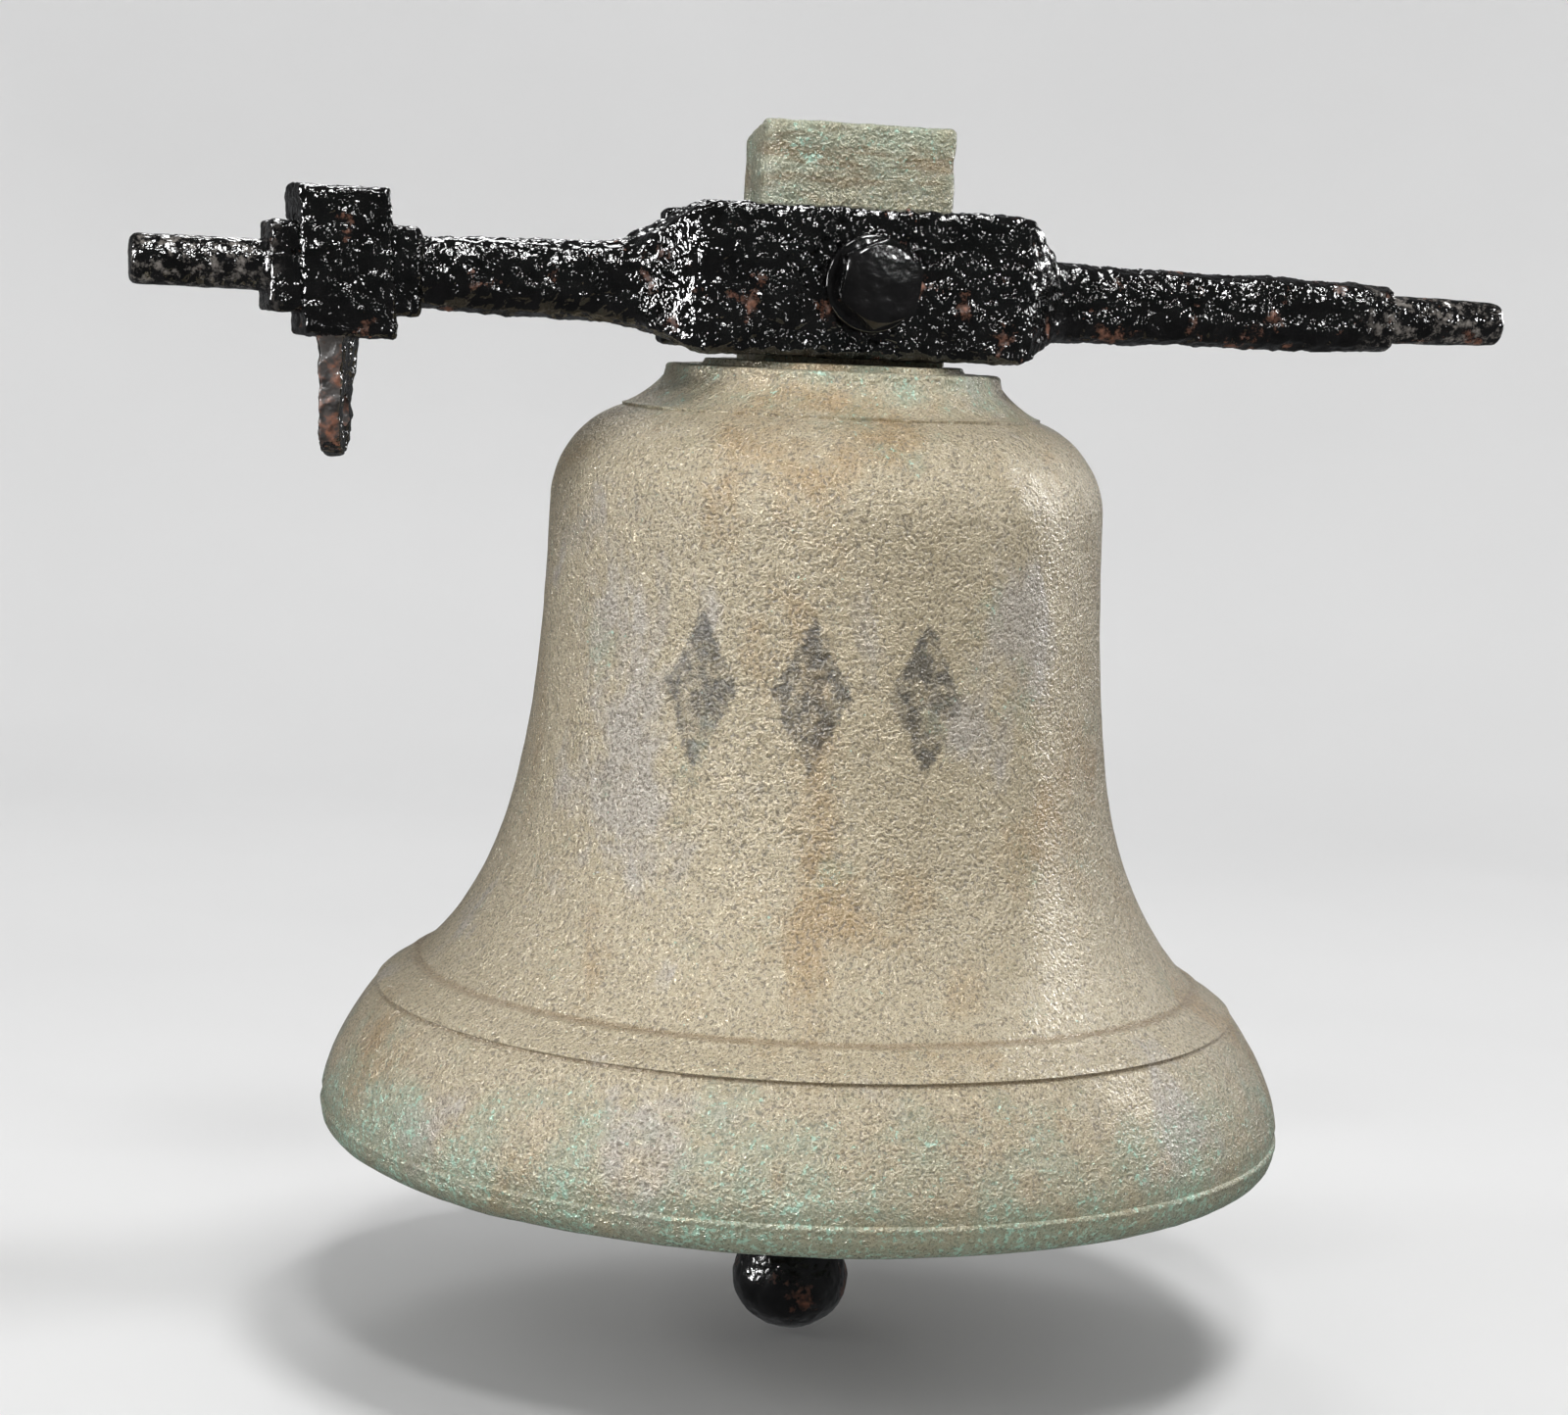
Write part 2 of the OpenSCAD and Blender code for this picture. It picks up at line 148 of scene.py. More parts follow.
def lathe(name: str, outline: Sequence[Point], axis: str = "Z", steps: int = 64,
          at: Sequence[float] = (0, 0, 0)) -> bpy.types.Object:
    """Spin an outline about an axis.

    Args:
        name: The piece's name.
        outline: Points (radius, place along the axis) in millimetres, from axis to axis or closed.
        axis: X, Y or Z.
        steps: Facets round the axis.
        at: Where the axis' zero lies, in millimetres.

    Returns:
        The closed, outward-facing piece.
    """
    along = {"X": Vector((1, 0, 0)), "Y": Vector((0, 1, 0)), "Z": Vector((0, 0, 1))}[axis]
    out = Vector((0, 0, 1)) if axis != "Z" else Vector((1, 0, 0))
    centre = Vector(at) * MM
    places = [centre + (out * r + along * t) * MM for r, t in outline]
    bpy.ops.mesh.primitive_circle_add(vertices=3, radius=MM)
    obj = settle(bpy.context.object, name)
    with editing(obj):
        bpy.ops.mesh.select_all(action="SELECT")
        bpy.ops.mesh.merge(type="CENTER")
        bpy.ops.transform.translate(value=places[0])
        for before, after in zip(places, places[1:]):
            bpy.ops.mesh.extrude_region_move(TRANSFORM_OT_translate={"value": after - before})
        bpy.ops.mesh.select_all(action="SELECT")
        bpy.ops.mesh.spin(steps=steps, angle=math.tau, center=centre, axis=along)
        close_up()
    return obj


def rod(name: str, radius: float, start: float, end: float, axis: str = "Y", steps: int = 64,
        at: Sequence[float] = (0, 0, 0)) -> bpy.types.Object:
    """A plain round bar between two places along an axis, in millimetres: a pin, or a drill."""
    outline = [(0, start), (radius, start), (radius, end), (0, end)]
    return lathe(name, outline, axis, steps, at=at)


def close_up() -> None:
    """Merge doubled points and turn the faces outwards, in edit mode."""
    bpy.ops.mesh.select_all(action="SELECT")
    bpy.ops.mesh.remove_doubles(threshold=0.004 * MM)
    bpy.ops.mesh.normals_make_consistent(inside=False)


def wear_edges(obj: bpy.types.Object, width: float, segments: int = 2,
               test: Callable[[Vector, Vector], bool] | None = None) -> None:
    """Round off edges by a width in millimetres: all of them, or those that pass a test."""
    with editing(obj, "EDGE"):
        if test:
            pick_edges(obj, test)
        else:
            bpy.ops.mesh.select_all(action="SELECT")
        bpy.ops.mesh.bevel(offset=width * MM, segments=segments, affect="EDGES")


def apply(obj: bpy.types.Object, kind: str, **settings: object) -> None:
    """Add a modifier with its settings and apply it."""
    select_only(obj)
    modifier = obj.modifiers.new(kind.title(), kind)
    for name, value in settings.items():
        setattr(modifier, name, value)
    bpy.ops.object.modifier_apply(modifier=modifier.name)


def combine(obj: bpy.types.Object, other: bpy.types.Object, operation: str) -> None:
    """Unite, subtract or intersect another solid, which is used up."""
    apply(obj, "BOOLEAN", object=other, operation=operation, solver="EXACT")
    bpy.data.objects.remove(other)


def weld(obj: bpy.types.Object, others: Sequence[bpy.types.Object], voxel: float) -> None:
    """Join overlapping solids into one skin, as a smith's weld does.

    Args:
        obj: The solid that stays.
        others: The solids that are used up.
        voxel: Size of the new skin's faces, in millimetres.
    """
    select_only(obj)
    for other in others:
        other.select_set(True)
    if others:
        bpy.ops.object.join()
    apply(obj, "REMESH", mode="VOXEL", voxel_size=voxel * MM)


def roughen(obj: bpy.types.Object, period: float, height: float, kind: str = "CLOUDS",
            depth: int = 1, mid: float = 0.5, group: str = "") -> None:
    """Raise and sink a skin with a fixed noise, along its normals.

    Args:
        obj: The mesh object.
        period: Spacing of the bumps, in millimetres.
        height: From the deepest to the highest point, in millimetres.
        kind: The noise: CLOUDS, or VORONOI for round pits.
        depth: Number of finer noises on top, for CLOUDS.
        mid: The noise's level that leaves the skin where it is.
        group: A vertex group that says where it acts.
    """
    noise = bpy.data.textures.new(f"{obj.name}_{kind}_{period}", kind)
    noise.noise_scale = period * MM
    if kind == "CLOUDS":
        noise.noise_depth = depth
    apply(obj, "DISPLACE", texture=noise, texture_coords="LOCAL", strength=height * MM,
          mid_level=mid, vertex_group=group)


def weigh(obj: bpy.types.Object, name: str, weight: Callable[[Vector], float]) -> None:
    """Add a vertex group whose weights come from the points' places, in millimetres."""
    group = obj.vertex_groups.new(name=name)
    for vertex in obj.data.vertices:
        group.add([vertex.index], weight(vertex.co / MM), "REPLACE")


def smooth(obj: bpy.types.Object, degrees: float = 40) -> None:
    """Shade smooth except across sharp edges."""
    select_only(obj)
    bpy.ops.object.shade_smooth_by_angle(angle=math.radians(degrees))


def ease(low: float, high: float, value: float) -> float:
    """Rise smoothly from 0 at low to 1 at high."""
    t = min(max((value - low) / (high - low), 0), 1)
    return t * t * (3 - 2 * t)


def curve(a: Point, b: Point, c: Point, d: Point, n: int) -> list[Point]:
    """Points of a cubic curve from a to d with handles b and c."""
    return [
        tuple(
            (1 - t) ** 3 * p + 3 * t * (1 - t) ** 2 * q + 3 * t * t * (1 - t) * r + t**3 * s
            for p, q, r, s in zip(a, b, c, d)
        )
        for t in (i / n for i in range(n + 1))
    ]


def arc(x: float, z: float, r: float, start: float, end: float, n: int) -> list[Point]:
    """Points of an arc about (x, z) between two angles in degrees."""
    turns = (math.radians(start + (end - start) * i / n) for i in range(n + 1))
    return [(x + r * math.cos(a), z + r * math.sin(a)) for a in turns]


# ---------------------------------------------------------------- finishes


def linear(code: str) -> tuple[float, float, float, float]:
    """An sRGB hex colour as linear red, green, blue and alpha."""
    parts = [int(code[i:i + 2], 16) / 255 for i in (1, 3, 5)]
    return (*[c / 12.92 if c <= 0.04045 else ((c + 0.055) / 1.055) ** 2.4 for c in parts], 1.0)


def wire(tree: bpy.types.NodeTree, kind: str, feeds: dict, ramp: Sequence = (), out: int = 0,
         **settings: object) -> bpy.types.NodeSocket:
    """Add a node with its settings and links.

    Args:
        tree: The material's node tree.
        kind: The node's type, without its ShaderNode prefix.
        feeds: For each input, a value or the output that is linked to it.
        ramp: Stops (place, hex colour) of a colour ramp.
        out: Which output to return.
        **settings: The node's own settings.

    Returns:
        One of the node's outputs.
    """
    made = tree.nodes.new("ShaderNode" + kind)
    for name, value in settings.items():
        setattr(made, name, value)
    for i, (place, code) in enumerate(ramp):
        stop = made.color_ramp.elements[i] if i < 2 else made.color_ramp.elements.new(place)
        stop.position = place
        stop.color = linear(code)
    for key, value in feeds.items():
        if isinstance(value, bpy.types.NodeSocket):
            tree.links.new(value, made.inputs[key])
        else:
            made.inputs[key].default_value = value
    return made.outputs[out]


def new_material(name: str) -> tuple[bpy.types.Material, bpy.types.NodeTree, bpy.types.Node,
                                     bpy.types.NodeSocket]:
    """A material with its tree, its shader and its Object coordinates."""
    material = bpy.data.materials.new(name)
    material.use_nodes = True
    tree = material.node_tree
    place = wire(tree, "TexCoord", {}, out=3)
    return material, tree, tree.nodes["Principled BSDF"], place


def link(tree: bpy.types.NodeTree, shader: bpy.types.Node, **feeds: object) -> None:
    """Set or link the shader's inputs, named with underscores for spaces."""
    for key, value in feeds.items():
        socket = shader.inputs[key.replace("_", " ")]
        if isinstance(value, bpy.types.NodeSocket):
            tree.links.new(value, socket)
        else:
            socket.default_value = value


@dataclass(frozen=True)
class CastBronze:
    """Bell bronze as it comes out of a sand mould, weathered indoors.

    The sand leaves a fine pebbled skin whose tops are rubbed bright and whose pits stay dull. A
    handled, waxy coat over it gives small hard glints. Broad brown and grey patches lie under that,
    and pale verdigris gathers towards the lip and the crown. Heights count up from the lip.
    """

    name: str = "sand_cast_bell_bronze"
    metal: str = "#b3a689"
    grey: str = "#aea698"
    ochre: str = "#a68f69"
    pit: str = "#564b38"
    verdigris: str = "#8f9c86"
    # Colour of the lug's dark streaks and of the painted shade lines at the groove and the band's
    # upper edge.
    mint: str = "#a8ccb6"
    streak_and_shade: str = "#7d6540"
    paint: str = "#30302f"
    grain: float = 1.4
    grain_height: float = 1.5
    lip: float = -336.75
    groove_up: float = 58.8
    band_over: float = 11.2
    green_to: float = 64.0
    crown_from: float = 282.0
    crown_to: float = 306.0
    lug_from: float = 318.0
    lug_to: float = 324.0
    lug_film: float = 0.45
    waist_r: float = 112
    mark_turn: float = -18.0
    mark_z: float = -147
    mark_pitch: float = 43.0
    mark_w: float = 15.0
    mark_h: float = 29.0
    marked: bool = True

    def build(self) -> bpy.types.Material:
        """Wire the material and return it."""
        material, tree, shader, place = new_material(self.name)
        xyz = tree.nodes.new("ShaderNodeSeparateXYZ")
        tree.links.new(place, xyz.inputs[0])
        grain = wire(tree, "TexNoise", {"Vector": place, "Scale": 1 / (self.grain * MM),
                                        "Detail": 2.5, "Roughness": 0.62})
        coarse = wire(tree, "TexNoise", {"Vector": place, "Scale": 1 / (6 * MM), "Detail": 3.0})
        tall = wire(tree, "Mapping", {"Vector": place, "Location": (0.31, 0.17, 0.05),
                                      "Scale": (1.0, 1.0, 0.6)})
        patch = wire(tree, "TexNoise", {"Vector": tall, "Scale": 1 / (60 * MM), "Detail": 5.0,
                                        "Roughness": 0.65, "Distortion": 0.3})
        blotch = wire(tree, "TexNoise", {"Vector": place, "Scale": 1 / (28 * MM), "Detail": 6.0,
                                         "Roughness": 0.65})
        base = wire(tree, "ValToRGB", {"Fac": patch}, ramp=[
            (0.33, self.ochre), (0.64, self.grey), (0.45, self.metal), (0.56, self.metal)])
        brown = wire(tree, "MapRange", {0: blotch, 1: 0.52, 2: 0.72, 3: 0.0, 4: 0.3})
        base = wire(tree, "MixRGB", {"Fac": brown, "Color1": base, "Color2": linear(self.ochre)})
        sunk = wire(tree, "MapRange", {0: grain, 1: 0.48, 2: 0.37, 3: 0.0, 4: 0.75})
        base = wire(tree, "MixRGB", {"Fac": sunk, "Color1": base, "Color2": linear(self.pit)})
        if self.marked:
            base = self.lozenges(tree, xyz, place, base)
        base = self.weathering(tree, xyz, blotch, place, base)
        shine = wire(tree, "MapRange", {0: grain, 1: 0.4, 2: 0.58, 3: 0.62, 4: 0.26})
        bright = wire(tree, "MapRange", {0: grain, 1: 0.42, 2: 0.58, 3: 0.05, 4: 0.35})
        height = wire(tree, "Math", {0: coarse, 1: 0.9, 2: grain}, operation="MULTIPLY_ADD")
        bump = wire(tree, "Bump", {"Height": height, "Distance": self.grain_height * MM,
                                   "Strength": 1.0})
        link(tree, shader, Base_Color=base, Roughness=shine, Metallic=bright, Normal=bump,
             Coat_Weight=0.9, Coat_Roughness=0.14, Coat_IOR=1.5, Coat_Normal=bump)
        return material

    def lozenges(self, tree: bpy.types.NodeTree, xyz: bpy.types.Node, place: bpy.types.NodeSocket,
                 base: bpy.types.NodeSocket) -> bpy.types.NodeSocket:
        """Three worn lozenges of old black paint in a row round the waist."""
        back = wire(tree, "Math", {0: xyz.outputs[1], 1: -1.0}, operation="MULTIPLY")
        turn = wire(tree, "Math", {0: xyz.outputs[0], 1: back}, operation="ARCTAN2")
        along = wire(tree, "Math", {0: turn, 1: self.waist_r,
                                    2: -math.radians(self.mark_turn) * self.waist_r},
                     operation="MULTIPLY_ADD")
        near = wire(tree, "Math", {0: along, 1: self.mark_pitch / 2, 2: -self.mark_pitch / 2},
                    operation="WRAP")
        near = wire(tree, "Math", {0: near}, operation="ABSOLUTE")
        row = wire(tree, "Math", {0: along}, operation="ABSOLUTE")
        row = wire(tree, "Math", {0: row, 1: 1.5 * self.mark_pitch}, operation="LESS_THAN")
        rise = wire(tree, "Math", {0: xyz.outputs[2], 1: 1 / MM, 2: -self.mark_z},
                    operation="MULTIPLY_ADD")
        rise = wire(tree, "Math", {0: rise}, operation="ABSOLUTE")
        rise = wire(tree, "Math", {0: rise, 1: self.mark_h}, operation="DIVIDE")
        near = wire(tree, "Math", {0: near, 1: self.mark_w}, operation="DIVIDE")
        reach = wire(tree, "Math", {0: rise, 1: near}, operation="ADD")
        fray = wire(tree, "TexNoise", {"Vector": place, "Scale": 1 / (5 * MM), "Detail": 5.0,
                                       "Roughness": 0.75})
        reach = wire(tree, "Math", {0: fray, 1: 0.7, 2: reach}, operation="MULTIPLY_ADD")
        inked = wire(tree, "MapRange", {0: reach, 1: 1.42, 2: 1.3, 3: 0.0, 4: 0.75})
        worn = wire(tree, "TexNoise", {"Vector": place, "Scale": 1 / (9 * MM), "Detail": 4.0,
                                       "Roughness": 0.7})
        worn = wire(tree, "MapRange", {0: worn, 1: 0.38, 2: 0.56, 3: 0.25, 4: 1.0})
        inked = wire(tree, "Math", {0: inked, 1: worn}, operation="MULTIPLY")
        inked = wire(tree, "Math", {0: inked, 1: row}, operation="MULTIPLY")
        return wire(tree, "MixRGB", {"Fac": inked, "Color1": base, "Color2": linear(self.paint)})

    def weathering(self, tree: bpy.types.NodeTree, xyz: bpy.types.Node,
                   blotch: bpy.types.NodeSocket, place: bpy.types.NodeSocket,
                   base: bpy.types.NodeSocket) -> bpy.types.NodeSocket:
        """Verdigris near the lip, in the moulding and on the crown, with bright specks; dark streaks
        on the lug; painted shade lines in the groove and along the band's upper edge.
        """
        up = wire(tree, "Math", {0: xyz.outputs[2], 1: 1 / MM, 2: -self.lip},
                  operation="MULTIPLY_ADD")
        low = wire(tree, "MapRange", {0: up, 1: self.green_to, 2: 2.0, 3: 0.0, 4: 1.0})
        crown = wire(tree, "MapRange", {0: up, 1: self.crown_from, 2: self.crown_to, 3: 0.0,
                                        4: 0.55})
        where = wire(tree, "Math", {0: low, 1: crown}, operation="MAXIMUM")
        where = wire(tree, "Math", {0: where, 1: 0.34, 2: blotch}, operation="MULTIPLY_ADD")
        green = wire(tree, "MapRange", {0: where, 1: 0.58, 2: 0.82, 3: 0.0, 4: 0.72})
        base = wire(tree, "MixRGB", {"Fac": green, "Color1": base,
                                     "Color2": linear(self.verdigris)})
        level = wire(tree, "Mapping", {"Vector": place, "Scale": (0.22, 0.22, 1.0)})
        streak = wire(tree, "TexNoise", {"Vector": level, "Scale": 1 / (9 * MM), "Detail": 6.0,
                                         "Roughness": 0.65})
        streak = wire(tree, "MapRange", {0: streak, 1: 0.49, 2: 0.6, 3: 0.0, 4: 0.6})
        lug = wire(tree, "MapRange", {0: up, 1: self.lug_from, 2: self.lug_to})
        streak = wire(tree, "Math", {0: streak, 1: lug}, operation="MULTIPLY")
        film = wire(tree, "Math", {0: lug, 1: self.lug_film}, operation="MULTIPLY")
        base = wire(tree, "MixRGB", {"Fac": film, "Color1": base,
                                     "Color2": linear(self.verdigris)})
        base = wire(tree, "MixRGB", {"Fac": streak, "Color1": base, "Color2": linear(self.streak_and_shade)})
        fleck = wire(tree, "TexNoise", {"Vector": place, "Scale": 1 / (2.4 * MM), "Detail": 3.0,
                                        "Roughness": 0.7})
        fleck = wire(tree, "Math", {0: where, 1: 0.5, 2: fleck}, operation="MULTIPLY_ADD")
        fleck = wire(tree, "MapRange", {0: fleck, 1: 0.95, 2: 1.01, 3: 0.0, 4: 0.85})
        base = wire(tree, "MixRGB", {"Fac": fleck, "Color1": base, "Color2": linear(self.mint)})
        # Painted shade: thin darker lines in the groove and along the band's upper edge stand in for
        # the shadows of these small steps.
        for height, half_width, amount in ((self.groove_up, 0.8, 0.5),
                                           (self.groove_up + self.band_over, 1.1, 0.55)):
            off = wire(tree, "Math", {0: up, 1: height}, operation="SUBTRACT")
            off = wire(tree, "Math", {0: off}, operation="ABSOLUTE")
            shade_line = wire(tree, "MapRange", {0: off, 1: half_width, 2: 0.3 * half_width, 3: 0.0,
                                           4: amount})
            base = wire(tree, "MixRGB", {"Fac": shade_line, "Color1": base,
                                         "Color2": linear(self.streak_and_shade)})
        return base


@dataclass(frozen=True)
class BlackEnamel:
    """Thick gloss black paint brushed over pitted forged iron.

    It is nearly black, and its clear top coat makes pits and hammer marks catch small hard glints,
    in clusters where the coat lies thick. Rust comes through at the thin places, without the coat.
    """

    name: str
    black: str = "#050505"
    rust: str = "#8a5a44"
    dust: str = "#8f8983"
    pits: float = 2.6
    pit_height: float = 0.75
    gloss: float = 0.08
    rust_from: float = 0.6
    rust_to: float = 0.68
    dusty_beyond: float = 0.0

    def build(self) -> bpy.types.Material:
        """Wire the material and return it."""
        material, tree, shader, place = new_material(self.name)
        pits = wire(tree, "TexNoise", {"Vector": place, "Scale": 1 / (self.pits * MM),
                                       "Detail": 1.5, "Roughness": 0.5})
        cells = wire(tree, "TexVoronoi", {"Vector": place, "Scale": 0.55 / (self.pits * MM)})
        waves = wire(tree, "TexNoise", {"Vector": place, "Scale": 1 / (7 * MM), "Detail": 2.0})
        spot = wire(tree, "TexNoise", {"Vector": place, "Scale": 1 / (17 * MM), "Detail": 8.0,
                                       "Roughness": 0.72})
        rusty = wire(tree, "MapRange", {0: spot, 1: self.rust_from, 2: self.rust_to})
        base = wire(tree, "ValToRGB", {"Fac": waves}, ramp=[(0.3, self.black), (0.8, "#0f0e0e")])
        tint = wire(tree, "ValToRGB", {"Fac": pits}, ramp=[(0.3, "#3b2519"), (0.65, self.rust)])
        base = wire(tree, "MixRGB", {"Fac": rusty, "Color1": base, "Color2": tint})
        shine = wire(tree, "MapRange", {0: rusty, 3: self.gloss, 4: 0.62})
        if self.dusty_beyond:
            xyz = tree.nodes.new("ShaderNodeSeparateXYZ")
            tree.links.new(place, xyz.inputs[0])
            far = wire(tree, "Math", {0: xyz.outputs[0]}, operation="ABSOLUTE")
            far = wire(tree, "MapRange", {0: far, 1: (self.dusty_beyond - 8) * MM,
                                          2: (self.dusty_beyond + 6) * MM})
            fleck = wire(tree, "TexNoise", {"Vector": place, "Scale": 1 / (4 * MM), "Detail": 4.0,
                                            "Roughness": 0.7})
            fleck = wire(tree, "MapRange", {0: fleck, 1: 0.5, 2: 0.66, 3: 0.0, 4: 0.75})
            rubbed = wire(tree, "Math", {0: far, 1: fleck}, operation="MULTIPLY")
            base = wire(tree, "MixRGB", {"Fac": rubbed, "Color1": base,
                                         "Color2": linear(self.dust)})
        height = wire(tree, "Math", {0: cells, 1: 0.9, 2: pits}, operation="MULTIPLY_ADD")
        bump = wire(tree, "Bump", {"Height": height, "Distance": self.pit_height * MM,
                                   "Strength": 1.0})
        coat = wire(tree, "MapRange", {0: rusty, 3: 1.0, 4: 0.1})
        cluster = wire(tree, "TexNoise", {"Vector": place, "Scale": 1 / (13 * MM), "Detail": 2.0})
        cluster = wire(tree, "MapRange", {0: cluster, 1: 0.42, 2: 0.6, 3: 0.25, 4: 0.9})
        coat = wire(tree, "Math", {0: coat, 1: cluster}, operation="MULTIPLY")
        link(tree, shader, Base_Color=base, Roughness=shine, Metallic=0.0, IOR=1.5, Normal=bump,
             Coat_Weight=coat, Coat_Roughness=0.06, Coat_IOR=1.5, Coat_Normal=bump)
        return material


@dataclass(frozen=True)
class OxidisedIron:
    """Bare wrought iron kept indoors: brown-black all over and dull, with rust in its scale."""

    name: str = "oxidised_wrought_iron"
    dark: str = "#2c2622"
    brown: str = "#5d4331"
    rust: str = "#7c4d2c"

    def build(self) -> bpy.types.Material:
        """Wire the material and return it."""
        material, tree, shader, place = new_material(self.name)
        scale = wire(tree, "TexNoise", {"Vector": place, "Scale": 1 / (9 * MM), "Detail": 7.0,
                                        "Roughness": 0.7})
        grit = wire(tree, "TexNoise", {"Vector": place, "Scale": 1 / (0.9 * MM), "Detail": 2.0})
        base = wire(tree, "ValToRGB", {"Fac": scale}, ramp=[
            (0.36, self.dark), (0.68, self.rust), (0.52, self.brown)])
        shine = wire(tree, "MapRange", {0: scale, 1: 0.3, 2: 0.7, 3: 0.45, 4: 0.8})
        bump = wire(tree, "Bump", {"Height": grit, "Distance": 0.15 * MM, "Strength": 1.0})
        link(tree, shader, Base_Color=base, Roughness=shine, Metallic=0.55, Normal=bump)
        return material


# ---------------------------------------------------------------- pieces


def hand_over(obj: bpy.types.Object, body: Body, slot: Slot, material: bpy.types.Material,
              *nodes: str) -> bpy.types.Object:
    """Dress a finished piece, hang it on its body and let it stand for its nodes."""
    if not obj.data.materials:
        obj.data.materials.append(material)
    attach(obj, body.value)
    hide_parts(*nodes)
    log.info("%s: %d faces on %s", obj.name, len(obj.data.polygons), body.value)
    return obj


@dataclass
class Casting:
    """The bell itself, with the lug that is cast on its crown. Heights count up from the lip."""

    bell_h: float = 309.4
    mouth_r: float = 190.5
    waist_r: float = 107.8
    flare_fall: float = 46
    waist_wall: float = 11
    soundbow_wall: float = 29
    bead_h: float = 13
    groove_h: float = 59
    groove_in: float = 22
    band_h: float = 10.5
    band_proud: float = 3.6
    shoulder_curve: float = 40
    crown_r: float = 66
    pad_r: float = 51
    pad_h: float = 2.4
    cove_h: float = 17
    crown_t: float = 17
    lug_w: float = 77.5
    lug_t: float = LUG_T
    lug_shift: float = 3
    bolt_up: float = BOLT_UP
    bolt_hole: float = BOLT_HOLE
    facets: int = 240

    def __post_init__(self) -> None:
        """Work out the radii and heights that both outlines share."""
        low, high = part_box("bell_casting")
        self.lip = low.z / MM
        self.lug_top = high.z / MM
        self.band_r = self.mouth_r - self.groove_in
        self.band_top = self.groove_h + self.band_h
        self.band_top_r = self.band_r - 1.35 * self.band_h
        self.disc_h = self.bell_h - self.pad_h
        self.shoulder = self.disc_h - self.cove_h - self.shoulder_curve * math.sin(math.radians(73))
        self.waist_end = self.shoulder - 2
        self.hollow_r = self.waist(self.waist_end) - self.shoulder_curve

    def waist(self, z: float) -> float:
        """Outside radius of the waist at a height."""
        flare = math.exp((self.band_top - z) / self.flare_fall)
        return self.waist_r + (self.band_top_r - self.waist_r) * flare

    def inside(self, z: float) -> float:
        """Inside radius behind the waist at a height."""
        return self.waist(z) - self.waist_wall - 7 * math.exp((self.band_top - z) / 30)

    def soundbow(self, z: float) -> float:
        """Outside radius between the bead and the groove."""
        bow = ((z - self.bead_h) / (self.groove_h - self.bead_h)) ** 1.7
        return self.mouth_r - (self.groove_in - 1.5) * bow

    def outside(self) -> list[Point]:
        """Outline from the lip's inner edge up to the crown's middle."""
        r, top_r, bead = self.mouth_r, self.band_top_r + self.band_proud, self.bead_h
        line_r = self.hollow_r + self.shoulder_curve * math.cos(math.radians(73))
        line_h = self.disc_h - self.cove_h
        flare = (self.band_top + 0.4, self.waist_end)
        waist_heights = [flare[0] + (flare[1] - flare[0]) * (i / 60) ** 1.2 for i in range(61)]
        bow_heights = [bead + (self.groove_h - 1.5 - bead) * i / 24 for i in range(3, 25)]
        return [
            (r - 16.5, 0),
            (r - 9, 0),
            *curve((r - 6.5, 1), (r - 3, 3), (r - 0.8, 6), (r - 0.6, bead - 4), 8),
            *arc(r - 1.6, bead - 1, 1.6, -30, 75, 6),
            *[(self.soundbow(z), z) for z in bow_heights],
            (self.band_r + 0.8, self.groove_h - 0.6),
            (self.band_r + 0.6, self.groove_h + 0.1),
            *curve((self.band_r + 1.5, self.groove_h + 0.9),
                   (self.band_r - 1.5, self.groove_h + 0.4 * self.band_h),
                   (top_r + 2.5, self.band_top - 0.35 * self.band_h),
                   (top_r + 0.5, self.band_top - 1.2), 8),
            (top_r - 0.9, self.band_top - 0.2),
            *[(self.waist(z), z) for z in waist_heights],
            *arc(self.hollow_r, self.shoulder, self.shoulder_curve, 5, 73, 18),
            (line_r + 1.4, line_h - 0.6),
            (line_r + 1.6, line_h + 0.6),
            (line_r - 0.6, line_h + 1.2),
            *curve((line_r - 1.2, line_h + 1.6), (line_r - 5, line_h + 3.4),
                   (self.crown_r + 3.5, self.disc_h - 9), (self.crown_r + 0.6, self.disc_h - 5), 9),
            *arc(self.crown_r - 2, self.disc_h - 2, 2, -10, 90, 5),
            (self.pad_r + 6, self.disc_h),
            (self.pad_r + 1, self.disc_h),
            *arc(self.pad_r - 1, self.bell_h - 1, 1, 0, 90, 3),
            *[(self.pad_r * i / 6, self.bell_h) for i in range(5, -1, -1)],
        ]

    def hollow(self) -> list[Point]:
        """Outline from the crown's middle down the inside to the lip."""
        low, crown_in = self.band_top + 6, self.bell_h - self.crown_t
        inner = self.shoulder_curve - self.waist_wall
        strike = self.mouth_r - self.soundbow_wall
        reach = [self.hollow_r + inner * math.cos(math.radians(a)) for a in (72, 68)]
        rise = [self.shoulder + inner * math.sin(math.radians(a)) for a in (72, 68)]
        heights = [self.waist_end - (self.waist_end - low) * (i / 30) ** 0.85 for i in range(31)]
        return [
            *[((self.crown_r - 18) * i / 4, crown_in) for i in range(5)],
            *curve((self.crown_r - 14, crown_in - 0.4), (self.crown_r - 6, crown_in - 2),
                   (reach[0] - 6, rise[0] + 4), (reach[1], rise[1]), 5),
            *arc(self.hollow_r, self.shoulder, inner, 60, 4, 9),
            *[(self.inside(z), z) for z in heights],
            *curve((self.inside(low) + 2.5, low - 3), (self.inside(low) + 13, low - 19),
                   (strike - 0.3, 48), (strike, 30), 12),
            *curve((strike, 28), (strike, 14), (strike + 3, 5), (self.mouth_r - 20.5, 1.6), 8),
            (self.mouth_r - 16.5, 0),
        ]

